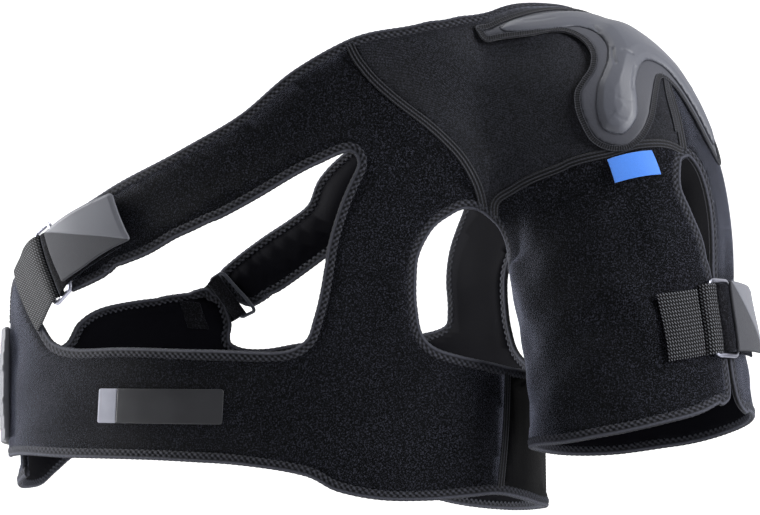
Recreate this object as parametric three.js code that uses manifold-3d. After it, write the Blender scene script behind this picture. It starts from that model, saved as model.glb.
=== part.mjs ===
// A shoulder brace in its worn shape: chest strap and belt, shoulder cap with an impact pad, and arm sleeve.
// Every panel is drawn as a flat pattern and then laid on one body form, as the real panels are cut flat and worn.
// A place on the body is (along, around, off):
//   along  0 at the belt hem, 1 at the armpit, then over the shoulder to 2, and 3 at the sleeve hem
//   around 0 at the outer ridge, 1 at the front, 2 under the arm, -1 at the back, in quarter turns
//   off    millimetres out from the middle of the cloth
import * as THREE from "three";
import { mergeVertices } from "three/addons/utils/BufferGeometryUtils.js";
import Module from "manifold-3d";

const wasm = await Module();
wasm.setup();

// Driving sizes, in millimetres
const chest_width = 401;
const chest_depth = 250;
const side_height = 168;
const shoulder_rise = 200;
const shoulder_depth = 160;
const sleeve_width = 156;
const sleeve_depth = 144;
const sleeve_drop = 132;
const sleeve_forward = 24;
const section_fullness = 2.3;
const cloth_wall = 3;
const binding_width = 6.4;
const binding_wall = 4.6;
const wing_inset = 6.4;
const clearance = 0.3;
const ring_wire = 3.4;
const back_ring_wire = 2.6;
const webbing_wall = 1.6;
const hook_wall = 1.8;
const rubber_wall = 2.6;
const pull_tab_wall = 4.2;
const label_wall = 0.8;
const flange_wall = 1.5;
const pad_core_height = 3.4;
const pad_crown_height = 1.8;

// Colours
const neoprene_black = 0x22232a;
const knit_black = 0x1d1e24;
const binding_grey = 0x3a3c48;
const side_black = 0x15161b;
const rubber_grey = 0x6b6d73;
const webbing_grey = 0x6e7074;
const ring_silver = 0xc8cae0;
const ring_dark = 0x23242e;
const pad_grey = 0x5f626e;
const flange_grey = 0x43454d;
const tag_blue = 0x2a7fe0;
const label_silver = 0xc4c6d0;
const label_dark = 0x2e2f35;

// The body form: rings in planes through the armpit line. Widths and depths are shares of the named sizes.
const chest = { width: chest_width, depth: chest_depth / 2 };
const crown = { width: shoulder_rise, depth: shoulder_depth / 2 };
const sleeve = { width: sleeve_width, depth: sleeve_depth / 2 };
const form_rows = [
  { along: 0.0, size: chest, outer: 0.97, inner: -0.03, depth: 0.976, forward: 0 },
  { along: 0.6, size: chest, outer: 0.972, inner: -0.018, depth: 1.0, forward: 0 },
  { along: 1.0, size: chest, outer: 0.968, inner: 0, depth: 0.976, forward: 0 },
  { along: 1.17, size: chest, outer: 0.928, inner: 0, depth: 0.944, forward: 0 },
  { along: 1.33, size: chest, outer: 0.786, inner: 0, depth: 0.848, forward: 0 },
  { along: 1.42, size: crown, outer: 1.31, inner: 0, depth: 1.15, forward: 0 },
  { along: 1.5, size: crown, outer: 1.0, inner: 0, depth: 1.0, forward: 0 },
  { along: 1.67, size: crown, outer: 0.92, inner: 0, depth: 0.94, forward: 0.12 },
  { along: 1.83, size: crown, outer: 0.83, inner: 0, depth: 0.91, forward: 0.25 },
  { along: 2.0, size: sleeve, outer: 1.0, inner: 0, depth: 1.0, forward: 0.42 },
  { along: 2.5, size: sleeve, outer: 1.077, inner: 0.09, depth: 0.986, forward: 0.75 },
  { along: 3.0, size: sleeve, outer: 1.128, inner: 0.128, depth: 0.972, forward: 1.0 },
];

// A smooth monotone curve through the rows of one measure.
function measure(read) {
  const x = form_rows.map((row) => row.along);
  const y = form_rows.map(read);
  const step = x.slice(1).map((value, i) => value - x[i]);
  const slope = step.map((width, i) => (y[i + 1] - y[i]) / width);
  const tangent = x.map((_, i) => {
    if (i === 0) return slope[0];
    if (i === x.length - 1) return slope[i - 1];
    if (slope[i - 1] * slope[i] <= 0) return 0;
    const before = 2 * step[i] + step[i - 1];
    const after = step[i] + 2 * step[i - 1];
    return (before + after) / (before / slope[i - 1] + after / slope[i]);
  });
  return (along) => {
    let i = 0;
    while (i < x.length - 2 && along > x[i + 1]) i += 1;
    const s = (along - x[i]) / step[i];
    const rise = s * s * (3 - 2 * s);
    const leave = s * (1 - s) ** 2 * step[i] * tangent[i];
    const arrive = s * s * (s - 1) * step[i] * tangent[i + 1];
    return (1 - rise) * y[i] + rise * y[i + 1] + leave + arrive;
  };
}

const outer_radius = measure((row) => row.outer * row.size.width);
const inner_radius = measure((row) => row.inner * row.size.width);
const half_depth = measure((row) => row.depth * row.size.depth);
const forward_shift = measure((row) => row.forward * sleeve_forward);

// The point of the form at (along, around): a rounded ring section, turned about the armpit line.
function form(along, around) {
  const middle = (outer_radius(along) + inner_radius(along)) / 2;
  const half = (outer_radius(along) - inner_radius(along)) / 2;
  const turn = Math.PI * (1 - Math.min(Math.max(along - 1, 0), 1));
  let drop = 0;
  if (along < 1) drop = (1 - along) * side_height;
  if (along > 2) drop = (along - 2) * sleeve_drop;
  const c = Math.cos((around * Math.PI) / 2);
  const s = Math.sin((around * Math.PI) / 2);
  const power = 2 / section_fullness;
  const radius = middle + half * Math.sign(c) * Math.abs(c) ** power;
  const deep = half_depth(along) * Math.sign(s) * Math.abs(s) ** power;
  return new THREE.Vector3(
    Math.cos(turn) * radius,
    -forward_shift(along) - deep,
    Math.sin(turn) * radius - drop,
  );
}

// The outward direction of the form, from its two slopes.
function outward(along, around) {
  const reach = 0.012;
  const low = Math.max(along - reach, 0);
  const high = Math.min(along + reach, 3);
  const lengthwise = form(high, around).sub(form(low, around));
  const crosswise = form(along, around + reach).sub(form(along, around - reach));
  return crosswise.cross(lengthwise).normalize();
}

function place(along, around, off = 0) {
  return form(along, around).addScaledVector(outward(along, around), off);
}

// The back half of the belt slips under the front belt at the wearer's other side.
const wing_slip = { starts: 3.5, ends: 3.88 };
function wing_layer(around) {
  const share = (around - wing_slip.starts) / (wing_slip.ends - wing_slip.starts);
  const s = Math.min(Math.max(share, 0), 1);
  return -wing_inset * s * s * (3 - 2 * s);
}

// Edges of the pattern, each a smooth curve through a few places [along, around].
const edge_step = 0.08;
const pattern_scale = { along: 400, around: 120 };
function smooth_edge(places, steps) {
  const points = places.map(([along, around]) => new THREE.Vector3(along, around * 0.6, 0));
  const curve = new THREE.CatmullRomCurve3(points, false, "centripetal");
  const count = steps ?? Math.ceil(curve.getLength() / edge_step);
  return curve.getSpacedPoints(count).map((p) => [p.x, p.y / 0.6]);
}
const reversed = (edge) => [...edge].reverse();
const unrolled = (edge) => edge.map(([along, around]) => [along, around + 4]);
const rolled = (edge) => edge.map(([along, around]) => [along, around - 4]);

// Neck edge, from the end of the front strap over the shoulder to the end of the back strap
const neck_front = smooth_edge([
  [1.033, 0.565], [1.065, 0.73], [1.115, 0.885], [1.18, 0.965], [1.26, 0.957], [1.33, 0.92],
  [1.396, 0.86], [1.436, 0.77], [1.468, 0.61], [1.512, 0.33], [1.55, 0.14], [1.562, 0],
]);
const neck_back = smooth_edge([
  [1.562, 0], [1.55, -0.15], [1.515, -0.36], [1.47, -0.6], [1.41, -0.83], [1.33, -0.95], [1.25, -1.0],
  [1.18, -0.96], [1.13, -0.925], [1.09, -0.89], [1.055, -0.82], [1.032, -0.765],
]);
// Front opening, from the end of the front strap round the triangle and up the left riser
const front_opening = smooth_edge([
  [0.955, 0.64], [1.005, 0.79], [1.043, 0.93], [1.103, 1.06], [1.18, 1.15], [1.232, 1.185], [1.222, 1.222],
  [1.113, 1.262], [0.94, 1.257], [0.76, 1.228], [0.665, 1.2], [0.626, 1.15], [0.64, 0.99], [0.66, 0.82],
  [0.668, 0.66], [0.7, 0.585], [0.78, 0.525], [0.88, 0.455], [0.985, 0.37], [1.02, 0.27], [0.98, 0.18],
  [0.9, 0.15],
]);
// Back opening, from the back strap round the triangle and along the top of the wing
const back_opening = smooth_edge([
  [1.032, -0.765], [1.012, -0.765], [0.985, -0.8], [0.982, -0.84], [1.01, -0.905], [1.06, -0.995],
  [1.14, -1.1], [1.205, -1.17], [1.236, -1.215], [1.21, -1.262], [1.08, -1.3], [0.9, -1.31], [0.83, -1.29],
  [0.8, -1.2], [0.803, -1.06], [0.795, -0.92], [0.783, -0.83], [0.795, -0.775], [0.87, -0.757],
  [0.965, -0.737], [0.997, -0.7], [0.99, -0.62], [0.975, -0.5], [0.935, -0.36], [0.87, -0.27], [0.77, -0.2],
  [0.72, -0.06], [0.7, 0.12], [0.69, 0.36],
]);
// Armhole, from the belt up the chest, over the top and down to the inside of the sleeve
const armhole_low_front = smooth_edge([
  [0.57, 2.0], [0.572, 1.86], [0.59, 1.735], [0.61, 1.63], [0.64, 1.55], [0.69, 1.513], [0.81, 1.502],
  [0.97, 1.508], [1.14, 1.515], [1.28, 1.5], [1.38, 1.465], [1.46, 1.44],
]);
const armhole_high_steps = 15;
const armhole_high_front = smooth_edge(
  [[1.46, 1.44], [1.515, 1.455], [1.6, 1.55], [1.72, 1.7], [1.86, 1.85], [2.05, 2.0]], armhole_high_steps,
);
const armhole_low_back = smooth_edge([
  [0.57, -2.0], [0.575, -1.86], [0.6, -1.74], [0.64, -1.65], [0.7, -1.585], [0.8, -1.56], [0.92, -1.558],
  [1.05, -1.56], [1.2, -1.54], [1.32, -1.5], [1.46, -1.45],
]);
const armhole_high_back = smooth_edge(
  [[1.46, -1.45], [1.515, -1.46], [1.6, -1.55], [1.72, -1.7], [1.86, -1.85], [2.05, -2.0]], armhole_high_steps,
);
// Belt hem, front from the buckle end to under the arm, then the back to the hidden end of the wing
const hem_front = smooth_edge([
  [0.245, 0.2], [0.24, 0.42], [0.22, 0.6], [0.19, 0.92], [0.163, 1.055], [0.115, 1.19], [0.05, 1.265],
  [0.016, 1.37], [0.014, 1.5], [0.03, 1.63], [0.045, 1.75], [0.03, 1.88], [0.012, 2.0],
]);
const hem_back = smooth_edge([
  [0.012, -2.0], [0.012, -1.75], [0.016, -1.5], [0.05, -1.3], [0.12, -1.15], [0.2, -1.03], [0.26, -0.9],
  [0.3, -0.7], [0.312, -0.45], [0.285, -0.27], [0.2, -0.14], [0.135, -0.04], [0.115, 0.08], [0.125, 0.24],
  [0.15, 0.36],
]);
// Sleeve hem and slit, and the teardrop vent at the top of the slit
const vent_front = smooth_edge([[1.838, 0.355], [1.845, 0.42], [1.885, 0.475], [1.93, 0.42], [1.985, 0.32], [2.06, 0.27], [2.14, 0.262]]);
const vent_rear = smooth_edge([[1.838, 0.355], [1.842, 0.3], [1.87, 0.235], [1.92, 0.2], [1.99, 0.19], [2.06, 0.19], [2.14, 0.187]]);
const slit_front = smooth_edge([[2.14, 0.262], [2.3, 0.262], [2.5, 0.258], [2.64, 0.25], [2.725, 0.262], [2.755, 0.32]]);
const slit_rear = smooth_edge([[2.14, 0.187], [2.3, 0.175], [2.5, 0.165], [2.65, 0.15], [2.745, 0.11], [2.785, 0.03]]);
const cuff_front = smooth_edge([[2.755, 0.32], [2.82, 0.5], [2.87, 0.72], [2.91, 0.91], [2.94, 1.06], [2.965, 1.27], [2.97, 1.6], [2.975, 2.0]]);
const cuff_back = smooth_edge([[2.975, -2.0], [2.985, -1.65], [2.975, -1.3], [2.93, -0.95], [2.86, -0.55], [2.81, -0.2], [2.785, 0.03]]);
// Seams: the diagonal across the chest, the one above the sleeve, and those under the arm
const diagonal_front = smooth_edge([[1.46, 1.44], [1.462, 1.32], [1.44, 1.24], [1.4, 1.17], [1.352, 1.08], [1.33, 0.99], [1.33, 0.915]]);
const diagonal_back = smooth_edge([[1.46, -1.45], [1.46, -1.3], [1.42, -1.18], [1.37, -1.07], [1.335, -1.0], [1.33, -0.95]]);
const sleeve_seam_front = smooth_edge([
  [1.515, 1.455], [1.53, 1.34], [1.62, 1.225], [1.72, 1.03], [1.776, 0.83], [1.8, 0.62], [1.82, 0.45], [1.838, 0.355],
]);
const sleeve_seam_back = smooth_edge([
  [1.838, 0.355], [1.8, 0.3], [1.745, 0.2], [1.715, 0.05], [1.715, -0.12], [1.745, -0.4], [1.77, -0.7],
  [1.72, -1.02], [1.62, -1.23], [1.53, -1.36], [1.515, -1.46],
]);
const side_seam_front = smooth_edge([[0.04, 1.76], [0.3, 1.8], [0.578, 1.83]]);
const side_seam_back = smooth_edge([[0.012, -1.75], [0.3, -1.78], [0.58, -1.82]]);
const inner_arm_seam = smooth_edge([[2.975, 2.0], [2.5, 2.0], [2.05, 2.0]]);

// The part of an edge between two of its places, named by the nearest points.
function stretch(edge, from, to) {
  const nearest = (place_wanted) => {
    let best = 0;
    edge.forEach(([along, around], i) => {
      const gap = Math.hypot(along - place_wanted[0], (around - place_wanted[1]) * 0.6);
      const [a, r] = edge[best];
      if (gap < Math.hypot(a - place_wanted[0], (r - place_wanted[1]) * 0.6)) best = i;
    });
    return best;
  };
  const first = nearest(from);
  const last = nearest(to);
  return first < last ? edge.slice(first, last + 1) : reversed(edge.slice(last, first + 1));
}

// Closed mesh of a solid, ready for joins and cuts.
function solid_of(geometry) {
  const bare = geometry.clone();
  bare.deleteAttribute("normal");
  bare.deleteAttribute("uv");
  const merged = mergeVertices(bare, 1e-4);
  return new wasm.Manifold(new wasm.Mesh({
    numProp: 3,
    vertProperties: new Float32Array(merged.getAttribute("position").array),
    triVerts: new Uint32Array(merged.getIndex().array),
  }));
}

function geometry_of(positions, triangles) {
  const geometry = new THREE.BufferGeometry();
  geometry.setAttribute("position", new THREE.BufferAttribute(new Float32Array(positions), 3));
  geometry.setIndex(Array.from(triangles));
  return geometry;
}

function geometry_from(solid) {
  const mesh = solid.getMesh();
  return geometry_of(mesh.vertProperties, mesh.triVerts);
}

// The main body of a cut solid, without the crumbs that a cut can leave beside a seam.
function main_body(geometry) {
  const triangles = geometry.getIndex().array;
  const parent = Array.from({ length: geometry.getAttribute("position").count }, (_, i) => i);
  const root = (vertex) => {
    let top = vertex;
    while (parent[top] !== top) top = parent[top];
    parent[vertex] = top;
    return top;
  };
  const corners = (i) => [triangles[i], triangles[i + 1], triangles[i + 2]];
  for (let i = 0; i < triangles.length; i += 3) {
    const [a, b, c] = corners(i);
    parent[root(b)] = root(a);
    parent[root(c)] = root(a);
  }
  const bodies = new Map();
  for (let i = 0; i < triangles.length; i += 3) {
    const body = root(triangles[i]);
    bodies.set(body, [...(bodies.get(body) ?? []), ...corners(i)]);
  }
  const largest = [...bodies.values()].sort((a, b) => b.length - a.length)[0];
  return geometry_of(geometry.getAttribute("position").array, largest);
}

// The flat pattern is bowed a little, so that its grid keeps its vertices through a cut.
const bow = 4000;
const bow_twist = 0.6;
const bowed = (x, y) => (x * x + y * y + bow_twist * x * y) / bow;

// A gridded flat sheet over a range of along and around, between two offsets. All sheets share one grid.
const grid_around = 0.2;
const grid_along = [
  0, 0.2, 0.4, 0.6, 0.8, 1, 1.1, 1.2, 1.3, 1.4, 1.5, 1.56, 1.62, 1.68, 1.74, 1.8, 1.86, 1.93, 2, 2.2, 2.4, 2.6, 2.8, 3,
];
function flat_sheet({ along, around, off }) {
  const lines = grid_along.filter((line) => line >= along[0] && line <= along[1]);
  const rows = lines.length - 1;
  const columns = Math.round((around[1] - around[0]) / grid_around);
  const positions = [];
  for (const level of off) {
    for (let i = 0; i <= rows; i += 1) {
      for (let j = 0; j <= columns; j += 1) {
        const x = pattern_scale.along * lines[i];
        const y = pattern_scale.around * (around[0] + grid_around * j);
        positions.push(x, y, level + bowed(x, y));
      }
    }
  }
  const layer = (rows + 1) * (columns + 1);
  const at = (level, i, j) => level * layer + i * (columns + 1) + j;
  const triangles = [];
  const quad = (a, b, c, d) => triangles.push(a, b, c, a, c, d);
  for (let i = 0; i < rows; i += 1) {
    for (let j = 0; j < columns; j += 1) {
      quad(at(1, i, j), at(1, i + 1, j), at(1, i + 1, j + 1), at(1, i, j + 1));
      quad(at(0, i, j), at(0, i, j + 1), at(0, i + 1, j + 1), at(0, i + 1, j));
    }
  }
  for (let i = 0; i < rows; i += 1) {
    quad(at(0, i, 0), at(0, i + 1, 0), at(1, i + 1, 0), at(1, i, 0));
    quad(at(0, i + 1, columns), at(0, i, columns), at(1, i, columns), at(1, i + 1, columns));
  }
  for (let j = 0; j < columns; j += 1) {
    quad(at(0, 0, j + 1), at(0, 0, j), at(1, 0, j), at(1, 0, j + 1));
    quad(at(0, rows, j), at(0, rows, j + 1), at(1, rows, j + 1), at(1, rows, j));
  }
  return solid_of(geometry_of(positions, triangles));
}

// A flat outline made a tall cutter that stands through the sheet.
const cutter_reach = 900;
function flat_cutter(outline) {
  const shape = new THREE.Shape(outline.map(([along, around]) => (
    new THREE.Vector2(along * pattern_scale.along, around * pattern_scale.around)
  )));
  const geometry = new THREE.ExtrudeGeometry(shape, { depth: 2 * cutter_reach, bevelEnabled: false });
  geometry.translate(0, 0, -cutter_reach);
  return solid_of(geometry);
}

// A narrow cutter along a seam, which leaves the clearance between two panels.
const seam_overrun = 6;
const seam_gap = 0.8;
function seam_cutter(edge) {
  const flat = edge.map(([along, around]) => (
    new THREE.Vector2(along * pattern_scale.along, around * pattern_scale.around)
  ));
  const lead = flat[0].clone().sub(flat[1]).setLength(seam_overrun).add(flat[0]);
  const tail = flat.at(-1).clone().sub(flat.at(-2)).setLength(seam_overrun).add(flat.at(-1));
  const line = [lead, ...flat, tail];
  const side = (sign) => line.map((point, i) => {
    const before = line[Math.max(i - 1, 0)];
    const after = line[Math.min(i + 1, line.length - 1)];
    const across = after.clone().sub(before).normalize();
    return [
      (point.x - (across.y * sign * seam_gap) / 2) / pattern_scale.along,
      (point.y + (across.x * sign * seam_gap) / 2) / pattern_scale.around,
    ];
  });
  return flat_cutter([...side(1), ...reversed(side(-1))]);
}

// Lays a flat solid on the body. The layer says how far a place is pushed in or out.
function laid(flat, layer = () => 0) {
  const mesh = flat.getMesh();
  const positions = [];
  for (let i = 0; i < mesh.vertProperties.length; i += 3) {
    const [x, y, level] = mesh.vertProperties.subarray(i, i + 3);
    const around = y / pattern_scale.around;
    const off = level - bowed(x, y) + layer(around);
    positions.push(...place(x / pattern_scale.along, around, off).toArray());
  }
  // The pattern is seen from its wrong side, so each triangle is turned over.
  const triangles = Array.from(mesh.triVerts).reverse();
  return solid_of(geometry_of(positions, triangles));
}

// A closed mesh lofted through rings of points, open or closed in its length.
function lofted(rings, closed) {
  const sides = rings[0].length;
  const positions = rings.flat().flatMap((point) => point.toArray());
  const triangles = [];
  const spans = closed ? rings.length : rings.length - 1;
  for (let i = 0; i < spans; i += 1) {
    const next = (i + 1) % rings.length;
    for (let j = 0; j < sides; j += 1) {
      const turn = (j + 1) % sides;
      triangles.push(i * sides + j, i * sides + turn, next * sides + turn);
      triangles.push(i * sides + j, next * sides + turn, next * sides + j);
    }
  }
  if (!closed) {
    const last = (rings.length - 1) * sides;
    for (let j = 1; j < sides - 1; j += 1) {
      triangles.push(0, j + 1, j);
      triangles.push(last, last + j, last + j + 1);
    }
  }
  return geometry_of(positions, triangles);
}

// A section carried along points with a chosen facing at each: rows of [across, out] in millimetres.
function carried(points, facings, section, closed = false) {
  const count = points.length;
  const rings = points.map((point, i) => {
    const before = points[closed ? (i + count - 1) % count : Math.max(i - 1, 0)];
    const after = points[closed ? (i + 1) % count : Math.min(i + 1, count - 1)];
    const ahead = after.clone().sub(before).normalize();
    const across = facings[i].clone().cross(ahead).normalize();
    const out = ahead.clone().cross(across);
    return section.map(([a, o]) => point.clone().addScaledVector(across, a).addScaledVector(out, o));
  });
  return lofted(rings, closed);
}

// Folded tape over a cut edge: a flat hexagon with rounded shoulders
function tape_section(width, wall) {
  const shoulder = 0.3;
  return [
    [-width / 2, 0], [-width * shoulder, -wall / 2], [width * shoulder, -wall / 2],
    [width / 2, 0], [width * shoulder, wall / 2], [-width * shoulder, wall / 2],
  ];
}

function along_edge(section, { edge, closed = false, layer = () => 0 }) {
  const points = edge.map(([along, around]) => place(along, around, layer(around)));
  const facings = edge.map(([along, around]) => outward(along, around));
  return carried(points, facings, section, closed);
}

// The room that a tape needs in the cloth: a plain rectangle, a clearance wider all round
const room_half_width = binding_width / 2 + 1.5 * clearance;
const room_half_wall = binding_wall / 2 + 3 * clearance;
const room_section = [
  [-room_half_width, -room_half_wall], [room_half_width, -room_half_wall],
  [room_half_width, room_half_wall], [-room_half_width, room_half_wall],
];

// Runs of binding, each one strip of tape
const belt_hem = [...stretch(hem_front, [0.245, 0.2], [0.012, 2]), ...unrolled(hem_back).slice(1)];
const armhole = [
  ...armhole_low_front.slice(0, -1), ...armhole_high_front,
  ...reversed(unrolled(armhole_high_back)).slice(1, -1), ...reversed(unrolled(armhole_low_back)).slice(0, -1),
];
const sleeve_edge = [
  ...vent_front.slice(0, -1), ...slit_front.slice(0, -1), ...cuff_front.slice(0, -1),
  ...unrolled(cuff_back).slice(0, -1), ...reversed(unrolled(slit_rear)).slice(0, -1),
  ...reversed(unrolled(vent_rear)).slice(0, -1),
];
const back_run = unrolled([...neck_back.slice(1, -1), ...back_opening]);
const bindings = [
  { name: "neck_binding", edge: neck_front },
  { name: "front_opening_binding", edge: front_opening },
  { name: "back_opening_binding", edge: back_run, layer: wing_layer },
  { name: "armhole_binding", edge: armhole, closed: true },
  { name: "belt_hem_binding", edge: belt_hem, layer: wing_layer },
  { name: "sleeve_edge_binding", edge: sleeve_edge, closed: true },
];

// The panels, each an outline of edges on the flat pattern
const wall = [-cloth_wall / 2, cloth_wall / 2];
const riser_end = [[0.9, 0.15], [0.8, 0.17], [0.26, 0.2]];
const panels = [
  {
    name: "front_panel",
    colour: neoprene_black,
    sheet: { along: [0, 1.5], around: [0, 2], off: wall },
    outline: [
      ...stretch(hem_front, [0.245, 0.2], [0.04, 1.76]), ...side_seam_front.slice(1, -1),
      ...stretch(armhole_low_front, [0.578, 1.83], [1.46, 1.44]), ...diagonal_front.slice(1),
      ...reversed(neck_front.filter(([along]) => along < 1.32)), ...front_opening, ...riser_end,
    ],
    seams: [diagonal_front, side_seam_front],
  },
  {
    name: "side_panel",
    colour: side_black,
    sheet: { along: [0, 0.8], around: [1.6, 2.4], off: wall },
    outline: [
      ...side_seam_front, ...stretch(armhole_low_front, [0.578, 1.83], [0.57, 2]).slice(1, -1),
      ...stretch(unrolled(armhole_low_back), [0.57, 2], [0.58, 2.18]),
      ...reversed(unrolled(side_seam_back)).slice(1), ...stretch(unrolled(hem_back), [0.012, 2.25], [0.012, 2]).slice(1, -1),
      ...stretch(hem_front, [0.012, 2], [0.04, 1.76]).slice(0, -1),
    ],
    seams: [side_seam_front, unrolled(side_seam_back)],
  },
  {
    name: "back_panel",
    colour: neoprene_black,
    sheet: { along: [0, 1.5], around: [2, 4.4], off: wall },
    layer: wing_layer,
    outline: unrolled([
      ...stretch(hem_back, [0.012, -1.75], [0.15, 0.36]), ...reversed(back_opening),
      ...reversed(neck_back.filter(([along]) => along < 1.32)).slice(1), ...reversed(diagonal_back).slice(0, -1),
      ...stretch(armhole_low_back, [1.46, -1.45], [0.58, -1.82]), ...reversed(side_seam_back).slice(1, -1),
    ]),
    seams: [unrolled(diagonal_back), unrolled(side_seam_back)],
  },
  {
    name: "shoulder_panel",
    colour: knit_black,
    sheet: { along: [1.3, 1.93], around: [-1.6, 1.6], off: wall },
    outline: [
      ...diagonal_front, ...neck_front.filter(([along]) => along > 1.34),
      ...neck_back.filter(([along]) => along > 1.34).slice(1), ...reversed(diagonal_back).slice(0, -1),
      ...stretch(armhole_high_back, [1.46, -1.45], [1.515, -1.46]), ...reversed(sleeve_seam_back).slice(1),
      ...reversed(sleeve_seam_front).slice(1, -1), ...stretch(armhole_high_front, [1.515, 1.455], [1.46, 1.44]).slice(0, -1),
    ],
    seams: [diagonal_front, diagonal_back, sleeve_seam_front, sleeve_seam_back],
  },
  {
    name: "sleeve_panel",
    colour: neoprene_black,
    sheet: { along: [1.5, 3], around: [0, 2.2], off: wall },
    outline: [
      ...sleeve_seam_front.slice(0, -1), ...vent_front.slice(0, -1), ...slit_front.slice(0, -1),
      ...cuff_front.slice(0, -1), ...inner_arm_seam.slice(0, -1),
      ...stretch(armhole_high_front, [2.05, 2], [1.515, 1.455]).slice(0, -1),
    ],
    seams: [sleeve_seam_front, inner_arm_seam],
  },
  {
    name: "sleeve_flap",
    colour: neoprene_black,
    sheet: { along: [1.5, 3], around: [-2.2, 0.6], off: wall },
    outline: [
      ...reversed(sleeve_seam_back).slice(0, -1), ...vent_rear.slice(0, -1), ...slit_rear.slice(0, -1),
      ...reversed(cuff_back).slice(0, -1), ...rolled(inner_arm_seam).slice(0, -1),
      ...stretch(armhole_high_back, [2.05, -2], [1.515, -1.46]).slice(0, -1),
    ],
    seams: [sleeve_seam_back, rolled(inner_arm_seam)],
  },
];

const brace = new THREE.Group();

function add(name, geometry, color, roughness = 0.85, metalness = 0) {
  const material = new THREE.MeshStandardMaterial({ color, roughness, metalness });
  const mesh = new THREE.Mesh(geometry, material);
  mesh.name = name;
  brace.add(mesh);
}

for (const binding of bindings) {
  add(binding.name, along_edge(tape_section(binding_width, binding_wall), binding), binding_grey);
}

// Room for each binding, cut from every panel that it edges
const binding_room = bindings.map((binding) => solid_of(along_edge(room_section, binding)));

for (const { name, colour, sheet, outline, seams, layer } of panels) {
  let flat = flat_sheet(sheet).intersect(flat_cutter(outline));
  for (const seam of seams) flat = flat.subtract(seam_cutter(seam));
  let worn = laid(flat, layer);
  for (const room of binding_room) worn = worn.subtract(room);
  add(name, main_body(geometry_from(worn)), colour);
}

// A four cornered patch that follows the body. Corners run upper left, upper right, lower right, lower left.
const blend = (a, b, share) => a.map((value, i) => value + (b[i] - value) * share);
const within = (corners, across, down) => (
  blend(blend(corners[0], corners[1], across), blend(corners[3], corners[2], across), down)
);

function facing_out(geometry) {
  const p = geometry.getAttribute("position").array;
  const triangles = Array.from(geometry.getIndex().array);
  let volume = 0;
  for (let i = 0; i < triangles.length; i += 3) {
    const [a, b, c] = [0, 1, 2].map((k) => new THREE.Vector3().fromArray(p, 3 * triangles[i + k]));
    volume += a.dot(b.cross(c));
  }
  return volume > 0 ? geometry : geometry_of(p, triangles.reverse());
}

function patch(corners, [columns, rows], [low, high], layer = () => 0) {
  const rings = [];
  for (let i = 0; i <= columns; i += 1) {
    const ring = [];
    for (let j = 0; j <= rows; j += 1) {
      const [along, around] = within(corners, i / columns, j / rows);
      ring.push(place(along, around, low + layer(around)));
    }
    for (let j = rows; j >= 0; j -= 1) {
      const [along, around] = within(corners, i / columns, j / rows);
      ring.push(place(along, around, high + layer(around)));
    }
    rings.push(ring);
  }
  return facing_out(capped(rings));
}

// Rings whose two ends are flat strips, closed across their width.
function capped(rings) {
  const sides = rings[0].length;
  const half = sides / 2;
  const positions = rings.flat().flatMap((point) => point.toArray());
  const triangles = [];
  for (let i = 0; i + 1 < rings.length; i += 1) {
    for (let j = 0; j < sides; j += 1) {
      const turn = (j + 1) % sides;
      const [a, b, c, d] = [i * sides + j, i * sides + turn, (i + 1) * sides + turn, (i + 1) * sides + j];
      triangles.push(a, b, c, a, c, d);
    }
  }
  const last = (rings.length - 1) * sides;
  for (let j = 0; j + 1 < half; j += 1) {
    const [a, b, c, d] = [j, j + 1, sides - 2 - j, sides - 1 - j];
    triangles.push(a, c, b, a, d, c);
    triangles.push(last + a, last + b, last + c, last + a, last + c, last + d);
  }
  return geometry_of(positions, triangles);
}

// A flat strap through rows of an upper and a lower edge place, each at its own height off the body.
function strap(rows, wall_of_strap) {
  const upper = rows.map((row) => place(...row.upper, row.off));
  const lower = rows.map((row) => place(...row.lower, row.off));
  const middle = upper.map((point, i) => point.clone().lerp(lower[i], 0.5));
  const rings = middle.map((_, i) => {
    const ahead = middle[Math.min(i + 1, middle.length - 1)].clone().sub(middle[Math.max(i - 1, 0)]);
    const face = lower[i].clone().sub(upper[i]).cross(ahead).setLength(wall_of_strap / 2);
    return [
      upper[i].clone().add(face), lower[i].clone().add(face),
      lower[i].clone().sub(face), upper[i].clone().sub(face),
    ];
  });
  return facing_out(capped(rings));
}

// A rounded wire loop over four corners.
const loop_steps = 14;
const wire_sides = 6;
function wire_loop(corners, off, wire) {
  const squareness = 0.45;
  const soft = (value) => 0.5 + 0.5 * Math.sign(value) * Math.abs(value) ** squareness;
  const places = Array.from({ length: loop_steps }, (_, i) => {
    const turn = (2 * Math.PI * (i + 0.5)) / loop_steps;
    return within(corners, soft(Math.cos(turn)), soft(Math.sin(turn)));
  });
  const section = Array.from({ length: wire_sides }, (_, i) => {
    const turn = (2 * Math.PI * i) / wire_sides;
    return [(wire / 2) * Math.cos(turn), (wire / 2) * Math.sin(turn)];
  });
  const points = places.map(([along, around]) => place(along, around, off));
  return facing_out(carried(points, places.map((at) => outward(...at)), section, true));
}

// Heights of the layers that lie over the cloth and over its bindings
const over_cloth = cloth_wall / 2 + 1.5 * clearance;
const over_binding = binding_wall / 2 + 2 * clearance;

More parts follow.
